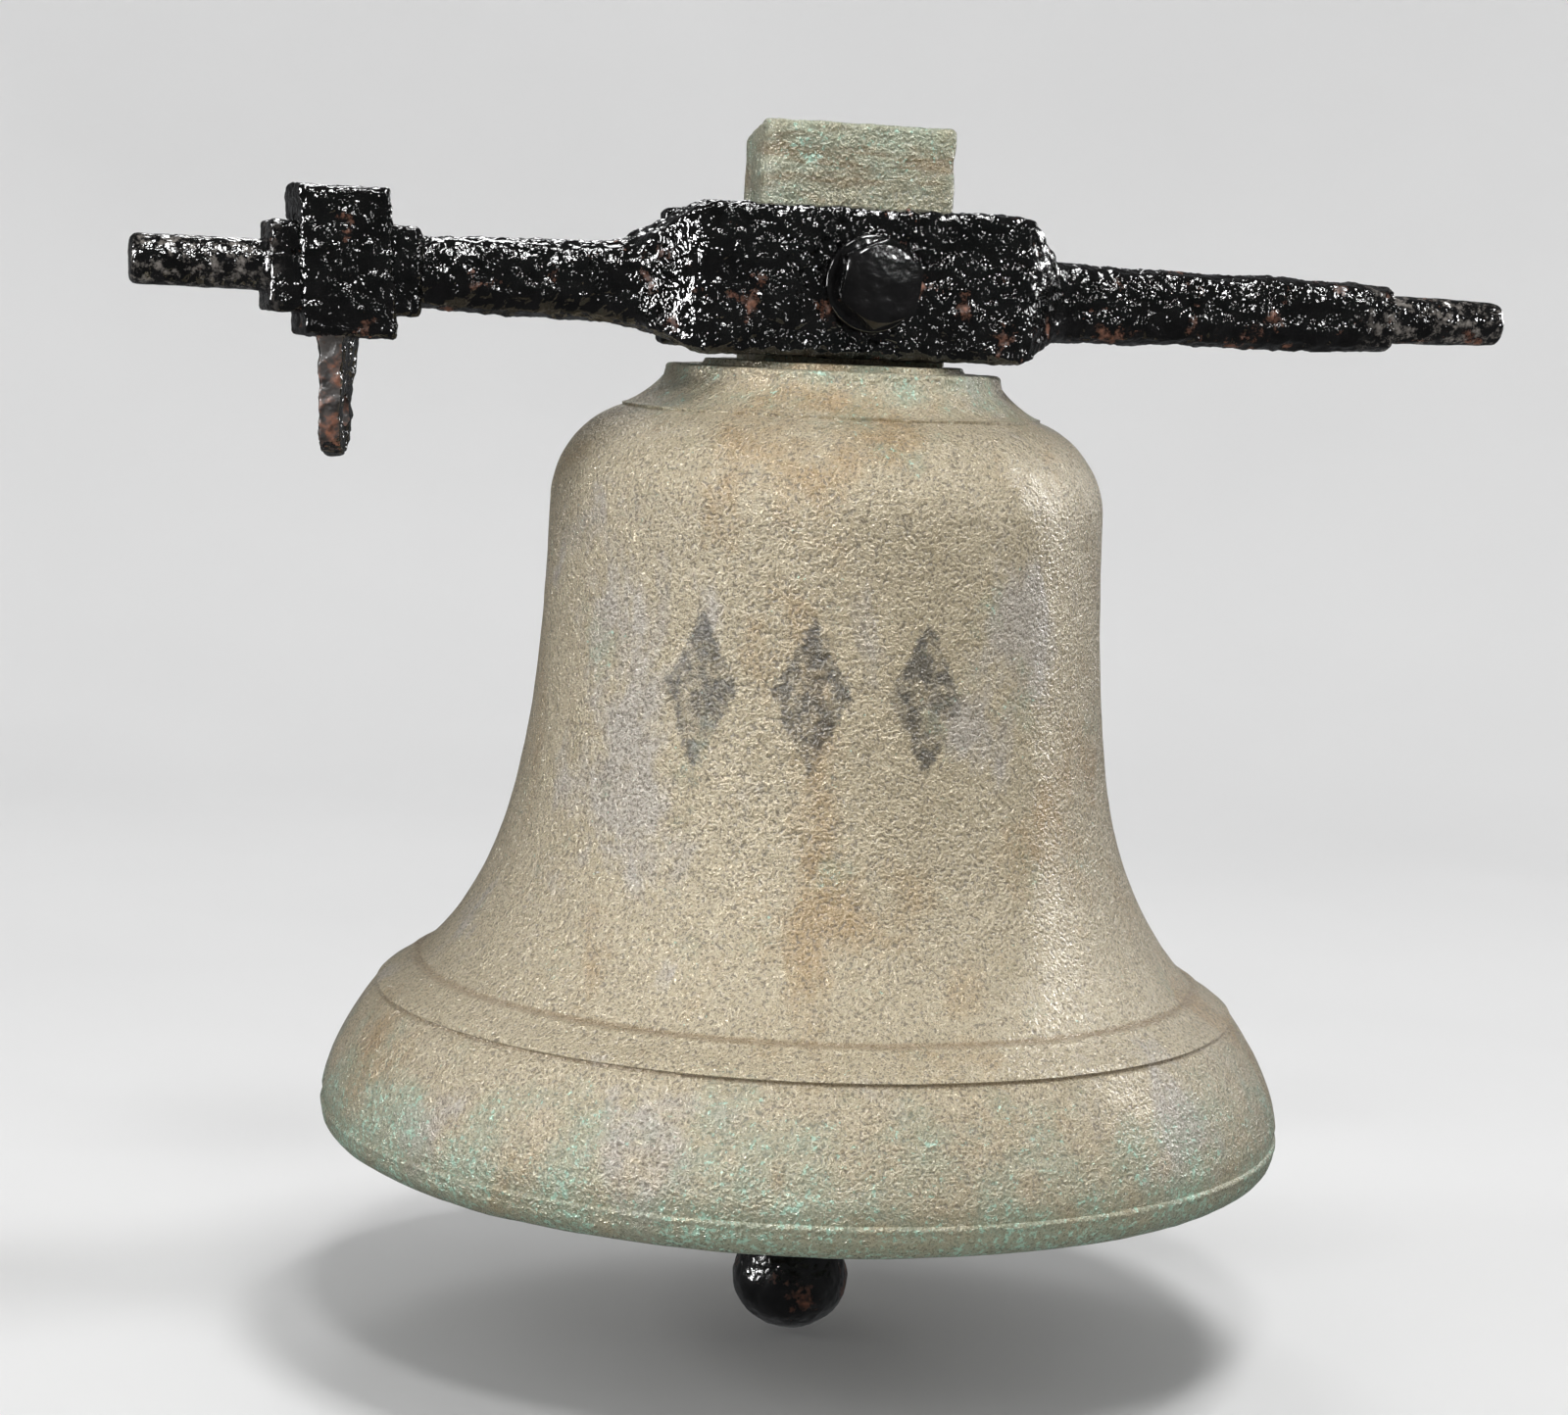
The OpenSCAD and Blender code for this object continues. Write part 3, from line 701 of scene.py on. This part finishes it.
    def build_lug(self) -> bpy.types.Object:
        """The lug: a slightly domed slab with worn edges and one broken corner."""
        half, crown = self.lug_w / 2, self.lip + self.bell_h
        left, right = self.lug_shift - half, self.lug_shift + half
        lug = block("bell_lug", (left, -self.lug_t / 2, crown - 4),
                    (right, self.lug_t / 2, self.lug_top - 0.4))
        wear_edges(lug, 4, 4, lambda a, b: abs(a.z - b.z) > 20)
        wear_edges(lug, 2.2, 3, lambda a, b: min(a.z, b.z) > 50)
        with editing(lug):
            bpy.ops.mesh.select_all(action="SELECT")
            bpy.ops.mesh.bisect(plane_co=(left * MM, -self.lug_t / 2 * MM, self.lug_top * MM),
                                plane_no=(-0.62, 0.2, 0.76), use_fill=True, clear_outer=True)
        weld(lug, [], 1.2)
        roughen(lug, 16, 1.5)
        roughen(lug, 4.5, 0.7, depth=2)
        hole = rod("lug_hole", self.bolt_hole / 2, -30, 30, at=(0, 0, self.bolt_up))
        combine(lug, hole, "DIFFERENCE")
        return lug

    def build(self, outer: bpy.types.Material, inner: bpy.types.Material) -> bpy.types.Object:
        """Spin the bell, waver its cast skin a little, and cast the lug on.

        Args:
            outer: Finish of the outside.
            inner: Finish of the hollow.
        """
        outline = self.outside() + self.hollow()[1:]
        bell = lathe("bell", [(r, z + self.lip) for r, z in outline], steps=self.facets)
        roughen(bell, 42, 0.9)
        roughen(bell, 9, 0.35)
        combine(bell, self.build_lug(), "UNION")
        bell.data.materials.append(outer)
        bell.data.materials.append(inner)
        with editing(bell, "FACE"):
            pick_faces(bell, self.is_hollow)
            bell.active_material_index = 1
            bpy.ops.object.material_slot_assign()
        smooth(bell, 50)
        return hand_over(bell, Body.BELL, Slot.BRONZE, outer, "bell_casting")

    def is_hollow(self, middle: Vector, normal: Vector) -> bool:
        """Whether a face lies on the inside of the bell."""
        up = middle.z - self.lip
        if up > self.bell_h - self.crown_t + 4:
            return False
        radius = math.hypot(middle.x, middle.y)
        outwards = normal.x * middle.x + normal.y * middle.y
        return (radius < self.mouth_r - 18 and outwards < 0.3 * radius
                and (outwards < 0 or normal.z < -0.5))


@dataclass
class Headstock:
    """The forged bar with its block, sweeps, arms, seat and gudgeons, and the rear plate."""

    block_len: float = 125
    block_h: float = 56.5
    block_t: float = BLOCK_T
    lug_t: float = LUG_T
    plate_t: float = PLATE_T
    plate_len: float = 133
    plate_h: float = 54
    bolt_up: float = BOLT_UP
    bolt_hole: float = BOLT_HOLE
    arm_root: float = 15.2
    arm_end: float = 13.2
    gudgeon_r: float = 9.4
    left_reach: float = 273.3
    right_reach: float = 286.8
    left_gudgeon: float = 49.8
    right_gudgeon: float = 52.2
    seat_side: float = SEAT_SIDE
    seat_len: float = 56.5
    skin: float = 1.0

    def sweep(self, side: int) -> list[Section]:
        """Sections (x, middle y, middle z, half depth, half height) from the block to an arm."""
        start = self.block_len / 2
        return [
            (side * (start + 4), -27, 3.2, 14, 26.5),
            (side * (start + 10), -20, 2.6, 14.5, 22.8),
            (side * (start + 16), -10, 1.6, 15, 19.0),
            (side * (start + 22), -3.5, 0.6, 15.2, 16.6),
            (side * (start + 29), 0, 0, self.arm_root, self.arm_root),
        ]

    def draw_out(self, bar: bpy.types.Object, side: int, end: float) -> None:
        """Draw one end of the block out into a sweep and an arm, section by section."""
        inner = self.sweep(side)
        root = inner[-1][0]
        taper = self.arm_end - self.arm_root
        arm = [(root + (end - root) * t, 0, 0, *[self.arm_root + taper * t] * 2)
               for t in (0.3, 0.6, 1.0)]
        clamp = self.lug_t / 2 + self.block_t / 2
        x, y, z, depth, height = (side * self.block_len / 2, -clamp, self.bolt_up,
                                  self.block_t / 2, self.block_h / 2)
        with editing(bar, "FACE"):
            pick_faces(bar, lambda middle, normal: normal.x * side > 0.9)
            for x2, y2, z2, depth2, height2 in inner + arm:
                step = Vector((x2 - x, y2 - y, z2 - z)) * MM
                bpy.ops.mesh.extrude_region_move(TRANSFORM_OT_translate={"value": step})
                bpy.ops.transform.resize(value=(1, depth2 / depth, height2 / height),
                                         center_override=(x2 * MM, y2 * MM, z2 * MM))
                x, y, z, depth, height = x2, y2, z2, depth2, height2

    def gudgeon(self, name: str, side: int, reach: float, length: float, root: float,
                end: float) -> bpy.types.Object:
        """One round gudgeon with a worn end, drawn in along X.

        Args:
            name: The piece's name until it is welded on.
            side: -1 for the left, 1 for the right.
            reach: Its end, from the bell's axis.
            length: Its length past the shoulder.
            root: Radius at the shoulder.
            end: Radius at the outer end.
        """
        inner = reach - length - 12
        outline = [(0, inner), (root, inner), (root, reach - length * 0.5), (end, reach - 3.2),
                   *arc(end - 2.6, reach - 2.6, 2.6, 15, 90, 4), (0, reach)]
        return lathe(name, [(r, side * t) for r, t in outline], "X", 48)

    def build_bar(self, finish: bpy.types.Material) -> bpy.types.Object:
        """Forge the bar: block, sweeps, arms, seat and gudgeons in one skin."""
        front = -self.lug_t / 2 - self.block_t
        bar = block("headstock", (-self.block_len / 2, front, self.bolt_up - self.block_h / 2),
                    (self.block_len / 2, -self.lug_t / 2, self.bolt_up + self.block_h / 2))
        seat_out = self.left_reach - self.left_gudgeon
        shoulder = self.right_reach - self.right_gudgeon
        self.draw_out(bar, 1, shoulder)
        self.draw_out(bar, -1, -(seat_out - self.seat_len + 2))
        arm_from = self.block_len / 2 + 18
        wear_edges(bar, 7.5, test=lambda a, b: min(abs(a.x), abs(b.x)) > arm_from
                   and abs(a.x - b.x) > 4)
        wear_edges(bar, 2.5, test=lambda a, b: max(abs(a.x), abs(b.x)) < self.block_len / 2 + 1)
        hole = rod("block_hole", self.bolt_hole / 2, -60, 10, at=(0, 0, self.bolt_up))
        combine(bar, hole, "DIFFERENCE")
        half = self.seat_side / 2
        seat = block("seat", (-seat_out, -half, -half), (-seat_out + self.seat_len, half, half))
        wear_edges(seat, 1.8)
        ends = [
            self.gudgeon("left_gudgeon", -1, self.left_reach, self.left_gudgeon,
                         self.gudgeon_r, self.gudgeon_r),
            self.gudgeon("right_gudgeon", 1, self.right_reach, self.right_gudgeon,
                         self.gudgeon_r + 0.3, self.gudgeon_r - 0.7),
        ]
        weld(bar, [seat, *ends], self.skin)
        apply(bar, "SMOOTH", iterations=3, factor=0.5)
        self.pit(bar)
        return hand_over(bar, Body.BELL, Slot.FORGING, finish, "headstock_bar")

    def pit(self, bar: bpy.types.Object) -> None:
        """Hammer and rust a forging's skin, and leave its gudgeons smoother."""
        journal = self.left_reach - self.left_gudgeon
        weigh(bar, "forged", lambda p: 1 - 0.72 * ease(journal - 2, journal + 4, abs(p.x)))
        roughen(bar, 24, 2.0, group="forged")
        roughen(bar, 5.5, 1.6, "VORONOI", mid=0.4, group="forged")
        roughen(bar, 3.0, 0.9, group="forged")
        smooth(bar, 60)

    def build_plate(self, finish: bpy.types.Material) -> bpy.types.Object:
        """The rear plate: a forged slab with rounded edges."""
        low = self.bolt_up - self.plate_h / 2
        near = self.lug_t / 2
        plate = block("headstock_plate", (-self.plate_len / 2 + 0.5, near, low + 0.5),
                      (self.plate_len / 2 - 0.5, near + self.plate_t, low + self.plate_h - 0.5))
        wear_edges(plate, 1.8)
        hole = rod("plate_hole", self.bolt_hole / 2, 5, 40, at=(0, 0, self.bolt_up))
        combine(plate, hole, "DIFFERENCE")
        weld(plate, [], self.skin)
        apply(plate, "SMOOTH", iterations=2, factor=0.5)
        roughen(plate, 18, 1.0)
        roughen(plate, 5.5, 1.2, "VORONOI", mid=0.4)
        roughen(plate, 3.0, 0.7)
        smooth(plate, 60)
        return hand_over(plate, Body.BELL, Slot.FORGING, finish, "headstock_rear_plate")


@dataclass
class ThroughBolt:
    """The bolt through block, lug and plate, with its two washers and its nut."""

    thread_d: float = 20
    flats: float = 30
    head_h: float = 12.5
    nut_h: float = 16
    washer_d: float = 37
    washer_t: float = 3
    bolt_up: float = BOLT_UP
    lug_t: float = LUG_T
    block_t: float = BLOCK_T
    plate_t: float = PLATE_T
    thread_out: float = 4
    turned: float = 8
    pitch: float = 2.5

    def hexagon(self, name: str, start: float, end: float, free: int) -> bpy.types.Object:
        """A hexagon along Y whose free end is turned down to a round face.

        Args:
            name: The piece's name.
            start: Where it starts along Y.
            end: Where it ends along Y.
            free: -1 if the start is the free end, 1 if the end is.
        """
        corner = self.flats / math.sqrt(3)
        bpy.ops.mesh.primitive_cylinder_add(
            vertices=6, radius=corner * MM, depth=(end - start) * MM,
            location=(0, (start + end) / 2 * MM, self.bolt_up * MM),
            rotation=(math.radians(90), math.radians(self.turned), 0))
        nut = settle(bpy.context.object, name)
        at = start if free < 0 else end
        face, over = self.flats / 2 - 0.6, 30
        back = -free * (end - start + 2)
        wide, rear = face + over * 1.75, back - free * over
        turning = lathe("turning", [(0, 0), (face, 0), (wide, -free * over), (wide, rear), (0, rear)],
                        "Y", 72, at=(0, at, self.bolt_up))
        combine(nut, turning, "INTERSECT")
        apply(nut, "BEVEL", width=0.7 * MM, segments=3, limit_method="ANGLE",
              angle_limit=math.radians(25))
        return nut

    def build(self, finish: bpy.types.Material) -> None:
        """Make the bolt, both washers and the nut."""
        under_head = -self.lug_t / 2 - self.block_t - self.washer_t
        plate_back = self.lug_t / 2 + self.plate_t
        end = plate_back + self.washer_t + self.nut_h + self.thread_out
        bolt = self.hexagon("through_bolt", under_head - self.head_h, under_head, -1)
        radius, depth = self.thread_d / 2, 1.1
        turns = int((end - plate_back) / self.pitch)
        thread = [p for i in range(turns) for p in (
            (radius, plate_back + i * self.pitch + 0.4),
            (radius, plate_back + i * self.pitch + 0.8),
            (radius - depth, plate_back + (i + 0.65) * self.pitch))]
        shank = lathe("shank", [(0, under_head - 2), (radius, under_head - 2), *thread,
                                (radius - 1.5, end), (0, end)], "Y", 48, at=(0, 0, self.bolt_up))
        combine(bolt, shank, "UNION")
        smooth(bolt, 35)
        hand_over(bolt, Body.BELL, Slot.BOLT, finish, "headstock_bolt")
        nut = self.hexagon("bolt_nut", plate_back + self.washer_t,
                           plate_back + self.washer_t + self.nut_h, 1)
        bore = rod("nut_bore", radius - 0.1, 0, 80, steps=48, at=(0, 0, self.bolt_up))
        combine(nut, bore, "DIFFERENCE")
        smooth(nut, 35)
        hand_over(nut, Body.BELL, Slot.BOLT, finish, "headstock_nut")
        for name, at in (("bolt_front_washer", under_head), ("bolt_rear_washer", plate_back)):
            self.build_washer(name, at, finish)

    def build_washer(self, name: str, at: float, finish: bpy.types.Material) -> None:
        """A plain washer with rolled edges, starting at a depth."""
        outer, inner, t, r = self.washer_d / 2, self.thread_d / 2 + 1, self.washer_t, 0.9
        ring = [*arc(inner + r, r, r, 270, 180, 3), *arc(inner + r, t - r, r, 180, 90, 3),
                *arc(outer - r, t - r, r, 90, 0, 3), *arc(outer - r, r, r, 0, -90, 3)]
        washer = lathe("painted_" + name, ring + ring[:1], "Y", 72, at=(0, at, self.bolt_up))
        smooth(washer, 35)
        hand_over(washer, Body.BELL, Slot.BOLT, finish, name)


@dataclass
class RopeLever:
    """The lever on the left arm: a forged hub that leans a little, and its flat blade."""

    top_x: tuple[float, float] = (-214.5, -180.5)
    bottom_x: tuple[float, float] = (-210.5, -176.5)
    low: float = -25
    high: float = 30
    depth: float = 42
    blade_x: tuple[float, float] = (-199.5, -190.8)
    blade_w: float = 39
    blade_turn: float = 18
    blade_low: float = -70
    tip_w: float = 33
    hole_d: float = 14
    seat_side: float = SEAT_SIDE
    skin: float = 0.9

    def build(self, finish: bpy.types.Material, bare: bpy.types.Material) -> bpy.types.Object:
        """Forge the hub, draw the blade out under it and punch the rope's hole.

        Args:
            finish: Finish of the hub and the blade's sides.
            bare: Finish of the blade's front edge, where the paint has gone.
        """
        half = self.depth / 2
        hub = block("rope_lever_forging", (self.bottom_x[0], -half, self.low),
                    (self.bottom_x[1], half, self.high))
        lean = (sum(self.top_x) / 2 - sum(self.bottom_x) / 2) * MM
        wider = (self.top_x[1] - self.top_x[0]) / (self.bottom_x[1] - self.bottom_x[0])
        with editing(hub, "FACE"):
            pick_faces(hub, lambda place, normal: normal.z > 0.9)
            bpy.ops.transform.translate(value=(lean, 0, 0))
            bpy.ops.transform.resize(value=(wider, 1, 1))
        wear_edges(hub, 8, 4, lambda a, b: min(a.y, b.y) > 0 and max(a.x, b.x) < -205)
        wear_edges(hub, 2.2, test=lambda a, b: max(a.y, b.y) < 0)
        seat = self.seat_side / 2 - 0.6
        slot_through = block("seat_hole", (-240, -seat, -seat), (-160, seat, seat))
        combine(hub, slot_through, "DIFFERENCE")
        tip = self.blade_low + self.tip_w / 2
        blade = block("blade", (self.blade_x[0], -self.blade_w / 2, tip),
                      (self.blade_x[1], self.blade_w / 2, self.low + 2))
        with editing(blade, "FACE"):
            pick_faces(blade, lambda place, normal: normal.z < -0.9)
            bpy.ops.transform.resize(value=(0.85, self.tip_w / self.blade_w, 1))
        end = rod("blade_end", self.tip_w / 2, self.blade_x[0] + 0.6, self.blade_x[1] - 0.6,
                  "X", 48, at=(0, 0, tip))
        hole = rod("rope_hole", self.hole_d / 2, -230, -160, "X", 40, at=(0, 0, tip))
        turn = math.radians(self.blade_turn)
        pivot = Vector((sum(self.blade_x) / 2, 0, 0)) * MM
        for piece in (blade, end, hole):
            piece.data.transform(Matrix.Translation(pivot) @ Matrix.Rotation(-turn, 4, "Z")
                                 @ Matrix.Translation(-pivot))
        weld(hub, [blade, end], self.skin)
        apply(hub, "SMOOTH", iterations=3, factor=0.5)
        roughen(hub, 20, 1.6)
        roughen(hub, 5.5, 1.6, "VORONOI", mid=0.4)
        roughen(hub, 3.0, 0.9)
        combine(hub, hole, "DIFFERENCE")
        hub.data.materials.append(finish)
        hub.data.materials.append(bare)
        facing = Vector((-math.sin(turn), -math.cos(turn), 0))
        with editing(hub, "FACE"):
            pick_faces(hub, lambda place, normal: place.z < self.low and normal.dot(facing) > 0.6)
            hub.active_material_index = 1
            bpy.ops.object.material_slot_assign()
        smooth(hub, 60)
        return hand_over(hub, Body.BELL, Slot.FORGING, finish, "rope_lever")


@dataclass
class Clapper:
    """The clapper: forged eye, thin shank and a pear-shaped bulb with a worn ring."""

    eye_d: float = 30
    pin_d: float = 12
    eye_t: float = 21.8
    shank_r: float = 8.5
    lower_r: float = 10
    bulb_r: float = 23.3
    flare: float = 62
    end: float = 21

    def build(self, finish: bpy.types.Material) -> bpy.types.Object:
        """Draw out the shank, swell the bulb and punch the eye."""
        low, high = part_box("clapper")
        tip, eye = low.z / MM, high.z / MM - self.eye_d / 2
        neck = eye - tip - self.eye_d / 2 + 4
        b = self.bulb_r
        outline = [
            *curve((0, 0), (0.5 * b, 0.2), (0.93 * b, 0.32 * self.end), (b - 0.4, self.end - 3), 8),
            (b, self.end - 0.5),
            (b, self.end + 2),
            *curve((b - 1.2, self.end + 6), (b - 5, self.end + 0.33 * self.flare),
                   (self.lower_r + 2, self.end + 0.6 * self.flare),
                   (self.lower_r, self.end + self.flare), 12),
            *[(self.lower_r + (self.shank_r - self.lower_r) * t,
               self.end + self.flare + (neck - self.end - self.flare) * t)
              for t in (0.25, 0.5, 0.75, 1)],
            (0, neck),
        ]
        clapper = lathe("clapper_forging", [(r, z + tip) for r, z in outline], steps=64)
        half = self.eye_t / 2 - 0.2
        eye_r = self.eye_d / 2 - 0.2
        knob = lathe("eye", [(0, -half), (eye_r - 2, -half), (eye_r, 2 - half), (eye_r, half - 2),
                             (eye_r - 2, half), (0, half)], "Y", 48, at=(0, 0, eye))
        weld(clapper, [knob], 0.9)
        apply(clapper, "SMOOTH", iterations=3, factor=0.5)
        weigh(clapper, "hammered", lambda p: 0.15 + 0.85 * (1 - ease(eye - 24, eye - 14, p.z)))
        roughen(clapper, 14, 1.2, group="hammered")
        roughen(clapper, 4.5, 0.8, group="hammered")
        bore = rod("eye_bore", self.pin_d / 2 + 0.06, -30, 30, steps=48, at=(0, 0, eye))
        combine(clapper, bore, "DIFFERENCE")
        smooth(clapper, 60)
        return hand_over(clapper, Body.CLAPPER, Slot.CLAPPER, finish, "clapper")


# ---------------------------------------------------------------- stage


@dataclass
class Studio:
    """A pale bowl of paper, soft lights round it, and the camera in front and to the left."""

    floor: float = -418.0
    flat_r: float = 1500
    bend: float = 900
    wall: float = 2600
    camera_at: tuple[float, float, float] = (-392.9, -1285.3, -11.0)
    yaw: float = 16.44
    pitch: float = 6.51
    roll: float = 2.66
    lens: float = 78.2
    aim_z: float = -170
    air: float = 0.1

    def build(self) -> None:
        """Set out the paper, the lights and the camera."""
        outline = [(0, self.floor), (self.flat_r, self.floor),
                   *arc(self.flat_r, self.floor + self.bend, self.bend, -80, 0, 10),
                   (self.flat_r + self.bend, self.wall)]
        paper = lathe("paper", outline, steps=96)
        material, tree, shader, place = new_material("matt_paper")
        mottle = wire(tree, "TexNoise", {"Vector": place, "Scale": 3.0})
        tone = wire(tree, "ValToRGB", {"Fac": mottle}, ramp=[(0.3, "#dcdcdc"), (0.7, "#dfdfdf")])
        out = wire(tree, "VectorMath", {0: place}, operation="LENGTH", out=1)
        glow = wire(tree, "MapRange", {0: out, 1: 0.9, 2: 2.0, 3: 0.0, 4: 0.12})
        link(tree, shader, Base_Color=tone, Roughness=0.95, Emission_Color=linear("#ffffff"),
             Emission_Strength=glow)
        paper.data.materials.append(material)
        paper.visible_glossy = False
        smooth(paper, 80)
        for name, turn, far, high, size, watts in (
            ("overhead_box", 36, 560, 1600, 0.5, 20),
            ("front_box", -14, 1250, 1350, 0.3, 10),
            ("left_box", -95, 1850, 500, 0.4, 8),
            ("right_box", 100, 1850, 450, 0.45, 4.5),
            ("rear_box", 175, 1500, 1100, 0.6, 6),
        ):
            self.add_light(name, turn, far, high, size, watts)
        for name, turn, far, high, wide, tall, glow in (
            ("left_card", -90, 1500, 150, 0.25, 0.5, 60.0),
            ("left_front_card", -48, 1500, 620, 0.2, 0.2, 70.0),
            ("right_card", 62, 1500, 520, 0.12, 0.24, 60.0),
            ("rear_right_card", 118, 1500, 250, 0.2, 0.3, 22.0),
            ("high_front_card", 14, 900, 900, 0.2, 0.12, 70.0),
            ("low_front_card", 20, 1500, 260, 0.1, 0.14, 45.0),
        ):
            self.add_card(name, turn, far, high, wide, tall, glow)
        world = bpy.data.worlds.new("studio_air")
        world.use_nodes = True
        world.node_tree.nodes["Background"].inputs["Color"].default_value = linear("#e6e8ea")
        world.node_tree.nodes["Background"].inputs["Strength"].default_value = self.air
        bpy.context.scene.world = world
        bpy.context.scene.view_settings.view_transform = "Standard"
        self.add_camera()

    def add_light(self, name: str, turn: float, far: float, high: float, size: float,
                  watts: float) -> None:
        """A soft square light that looks at the bell.

        Args:
            name: The light's name.
            turn: Degrees round from the front, towards +X.
            far: Distance from the bell's axis, in millimetres.
            high: Height above the gudgeon axis, in millimetres.
            size: Side of the square, in metres.
            watts: Its power.
        """
        data = bpy.data.lights.new(name, "AREA")
        data.size = size
        data.energy = watts
        lamp = bpy.data.objects.new(name, data)
        bpy.context.scene.collection.objects.link(lamp)
        a = math.radians(turn)
        lamp.location = Vector((far * math.sin(a), -far * math.cos(a), high)) * MM
        aim = Vector((0, 0, self.aim_z)) * MM - lamp.location
        lamp.rotation_euler = aim.to_track_quat("-Z", "Y").to_euler()
        lamp.visible_camera = False

    def add_card(self, name: str, turn: float, far: float, high: float, wide: float, tall: float,
                 glow: float) -> None:
        """A bright card that only shows in polished and rough metal, as a studio reflector does.

        Args:
            name: The card's name.
            turn: Degrees round from the front, towards +X.
            far: Distance from the bell's axis, in millimetres.
            high: Height above the gudgeon axis, in millimetres.
            wide: Its width, in metres.
            tall: Its height, in metres.
            glow: Its brightness.
        """
        a = math.radians(turn)
        place = Vector((far * math.sin(a), -far * math.cos(a), high)) * MM
        aim = (Vector((0, 0, self.aim_z)) * MM - place).to_track_quat("Z", "Y").to_euler()
        bpy.ops.mesh.primitive_plane_add(size=1, location=place, rotation=aim)
        bpy.context.object.scale = (wide, tall, 1)
        card = settle(bpy.context.object, name)
        material, tree, shader, _ = new_material(name + "_cloth")
        link(tree, shader, Base_Color=linear("#000000"), Emission_Color=linear("#ffffff"),
             Emission_Strength=glow)
        card.data.materials.append(material)
        card.visible_camera = card.visible_diffuse = card.visible_shadow = False

    def add_camera(self) -> None:
        """The camera, at the height of the gudgeons and looking slightly down."""
        yaw, pitch, roll = (math.radians(a) for a in (self.yaw, self.pitch, self.roll))
        ahead = Vector((math.sin(yaw) * math.cos(pitch), math.cos(yaw) * math.cos(pitch),
                        -math.sin(pitch)))
        right = Vector((math.cos(yaw), -math.sin(yaw), 0))
        up = right.cross(ahead)
        across = right * math.cos(roll) + up * math.sin(roll)
        upright = up * math.cos(roll) - right * math.sin(roll)
        data = bpy.data.cameras.new("camera")
        data.lens = self.lens
        data.sensor_width = 36
        camera = bpy.data.objects.new("camera", data)
        bpy.context.scene.collection.objects.link(camera)
        turn = Matrix((across, upright, -ahead)).transposed().to_4x4()
        camera.matrix_world = Matrix.Translation(Vector(self.camera_at) * MM) @ turn
        bpy.context.scene.camera = camera


def dress_node(name: str, material: bpy.types.Material) -> None:
    """Give a CAD node that stays its finish."""
    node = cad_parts[name]
    node.data.materials.clear()
    node.data.materials.append(material)
    log.info("%s keeps its shape, in %s", name, material.name)


def main() -> None:
    """Build every piece in order and set the stage."""
    logging.basicConfig(level=logging.INFO, format="%(name)s: %(message)s")
    outer = CastBronze().build()
    inner = CastBronze(name="rough_cast_hollow", metal="#7d745e", grey="#6d695c", ochre="#6a583c",
                       pit="#4a4335", marked=False).build()
    forged = BlackEnamel("gloss_black_over_pitted_iron", dusty_beyond=226).build()
    smooth_black = BlackEnamel("gloss_black_over_steel", pits=3.5, pit_height=0.12, gloss=0.12,
                               rust_from=0.72, rust_to=0.8).build()
    struck = BlackEnamel("worn_black_over_forged_iron", pits=2.0, pit_height=0.35, gloss=0.24,
                         rust_from=0.56, rust_to=0.66).build()
    bare = OxidisedIron().build()
    Casting().build(outer, inner)
    headstock = Headstock()
    headstock.build_bar(forged)
    headstock.build_plate(forged)
    ThroughBolt().build(smooth_black)
    scraped = BlackEnamel("rusty_scraped_iron", black="#544e4a", rust="#9a6248", gloss=0.5,
                          rust_from=0.5, rust_to=0.6).build()
    RopeLever().build(forged, scraped)
    Clapper().build(struck)
    for name in ("crown_staple", "clapper_shackle", "shackle_pin", "shackle_pin_washer",
                 "shackle_split_pin"):
        dress_node(name, bare)
    Studio().build()


if __name__ == "__main__":
    main()
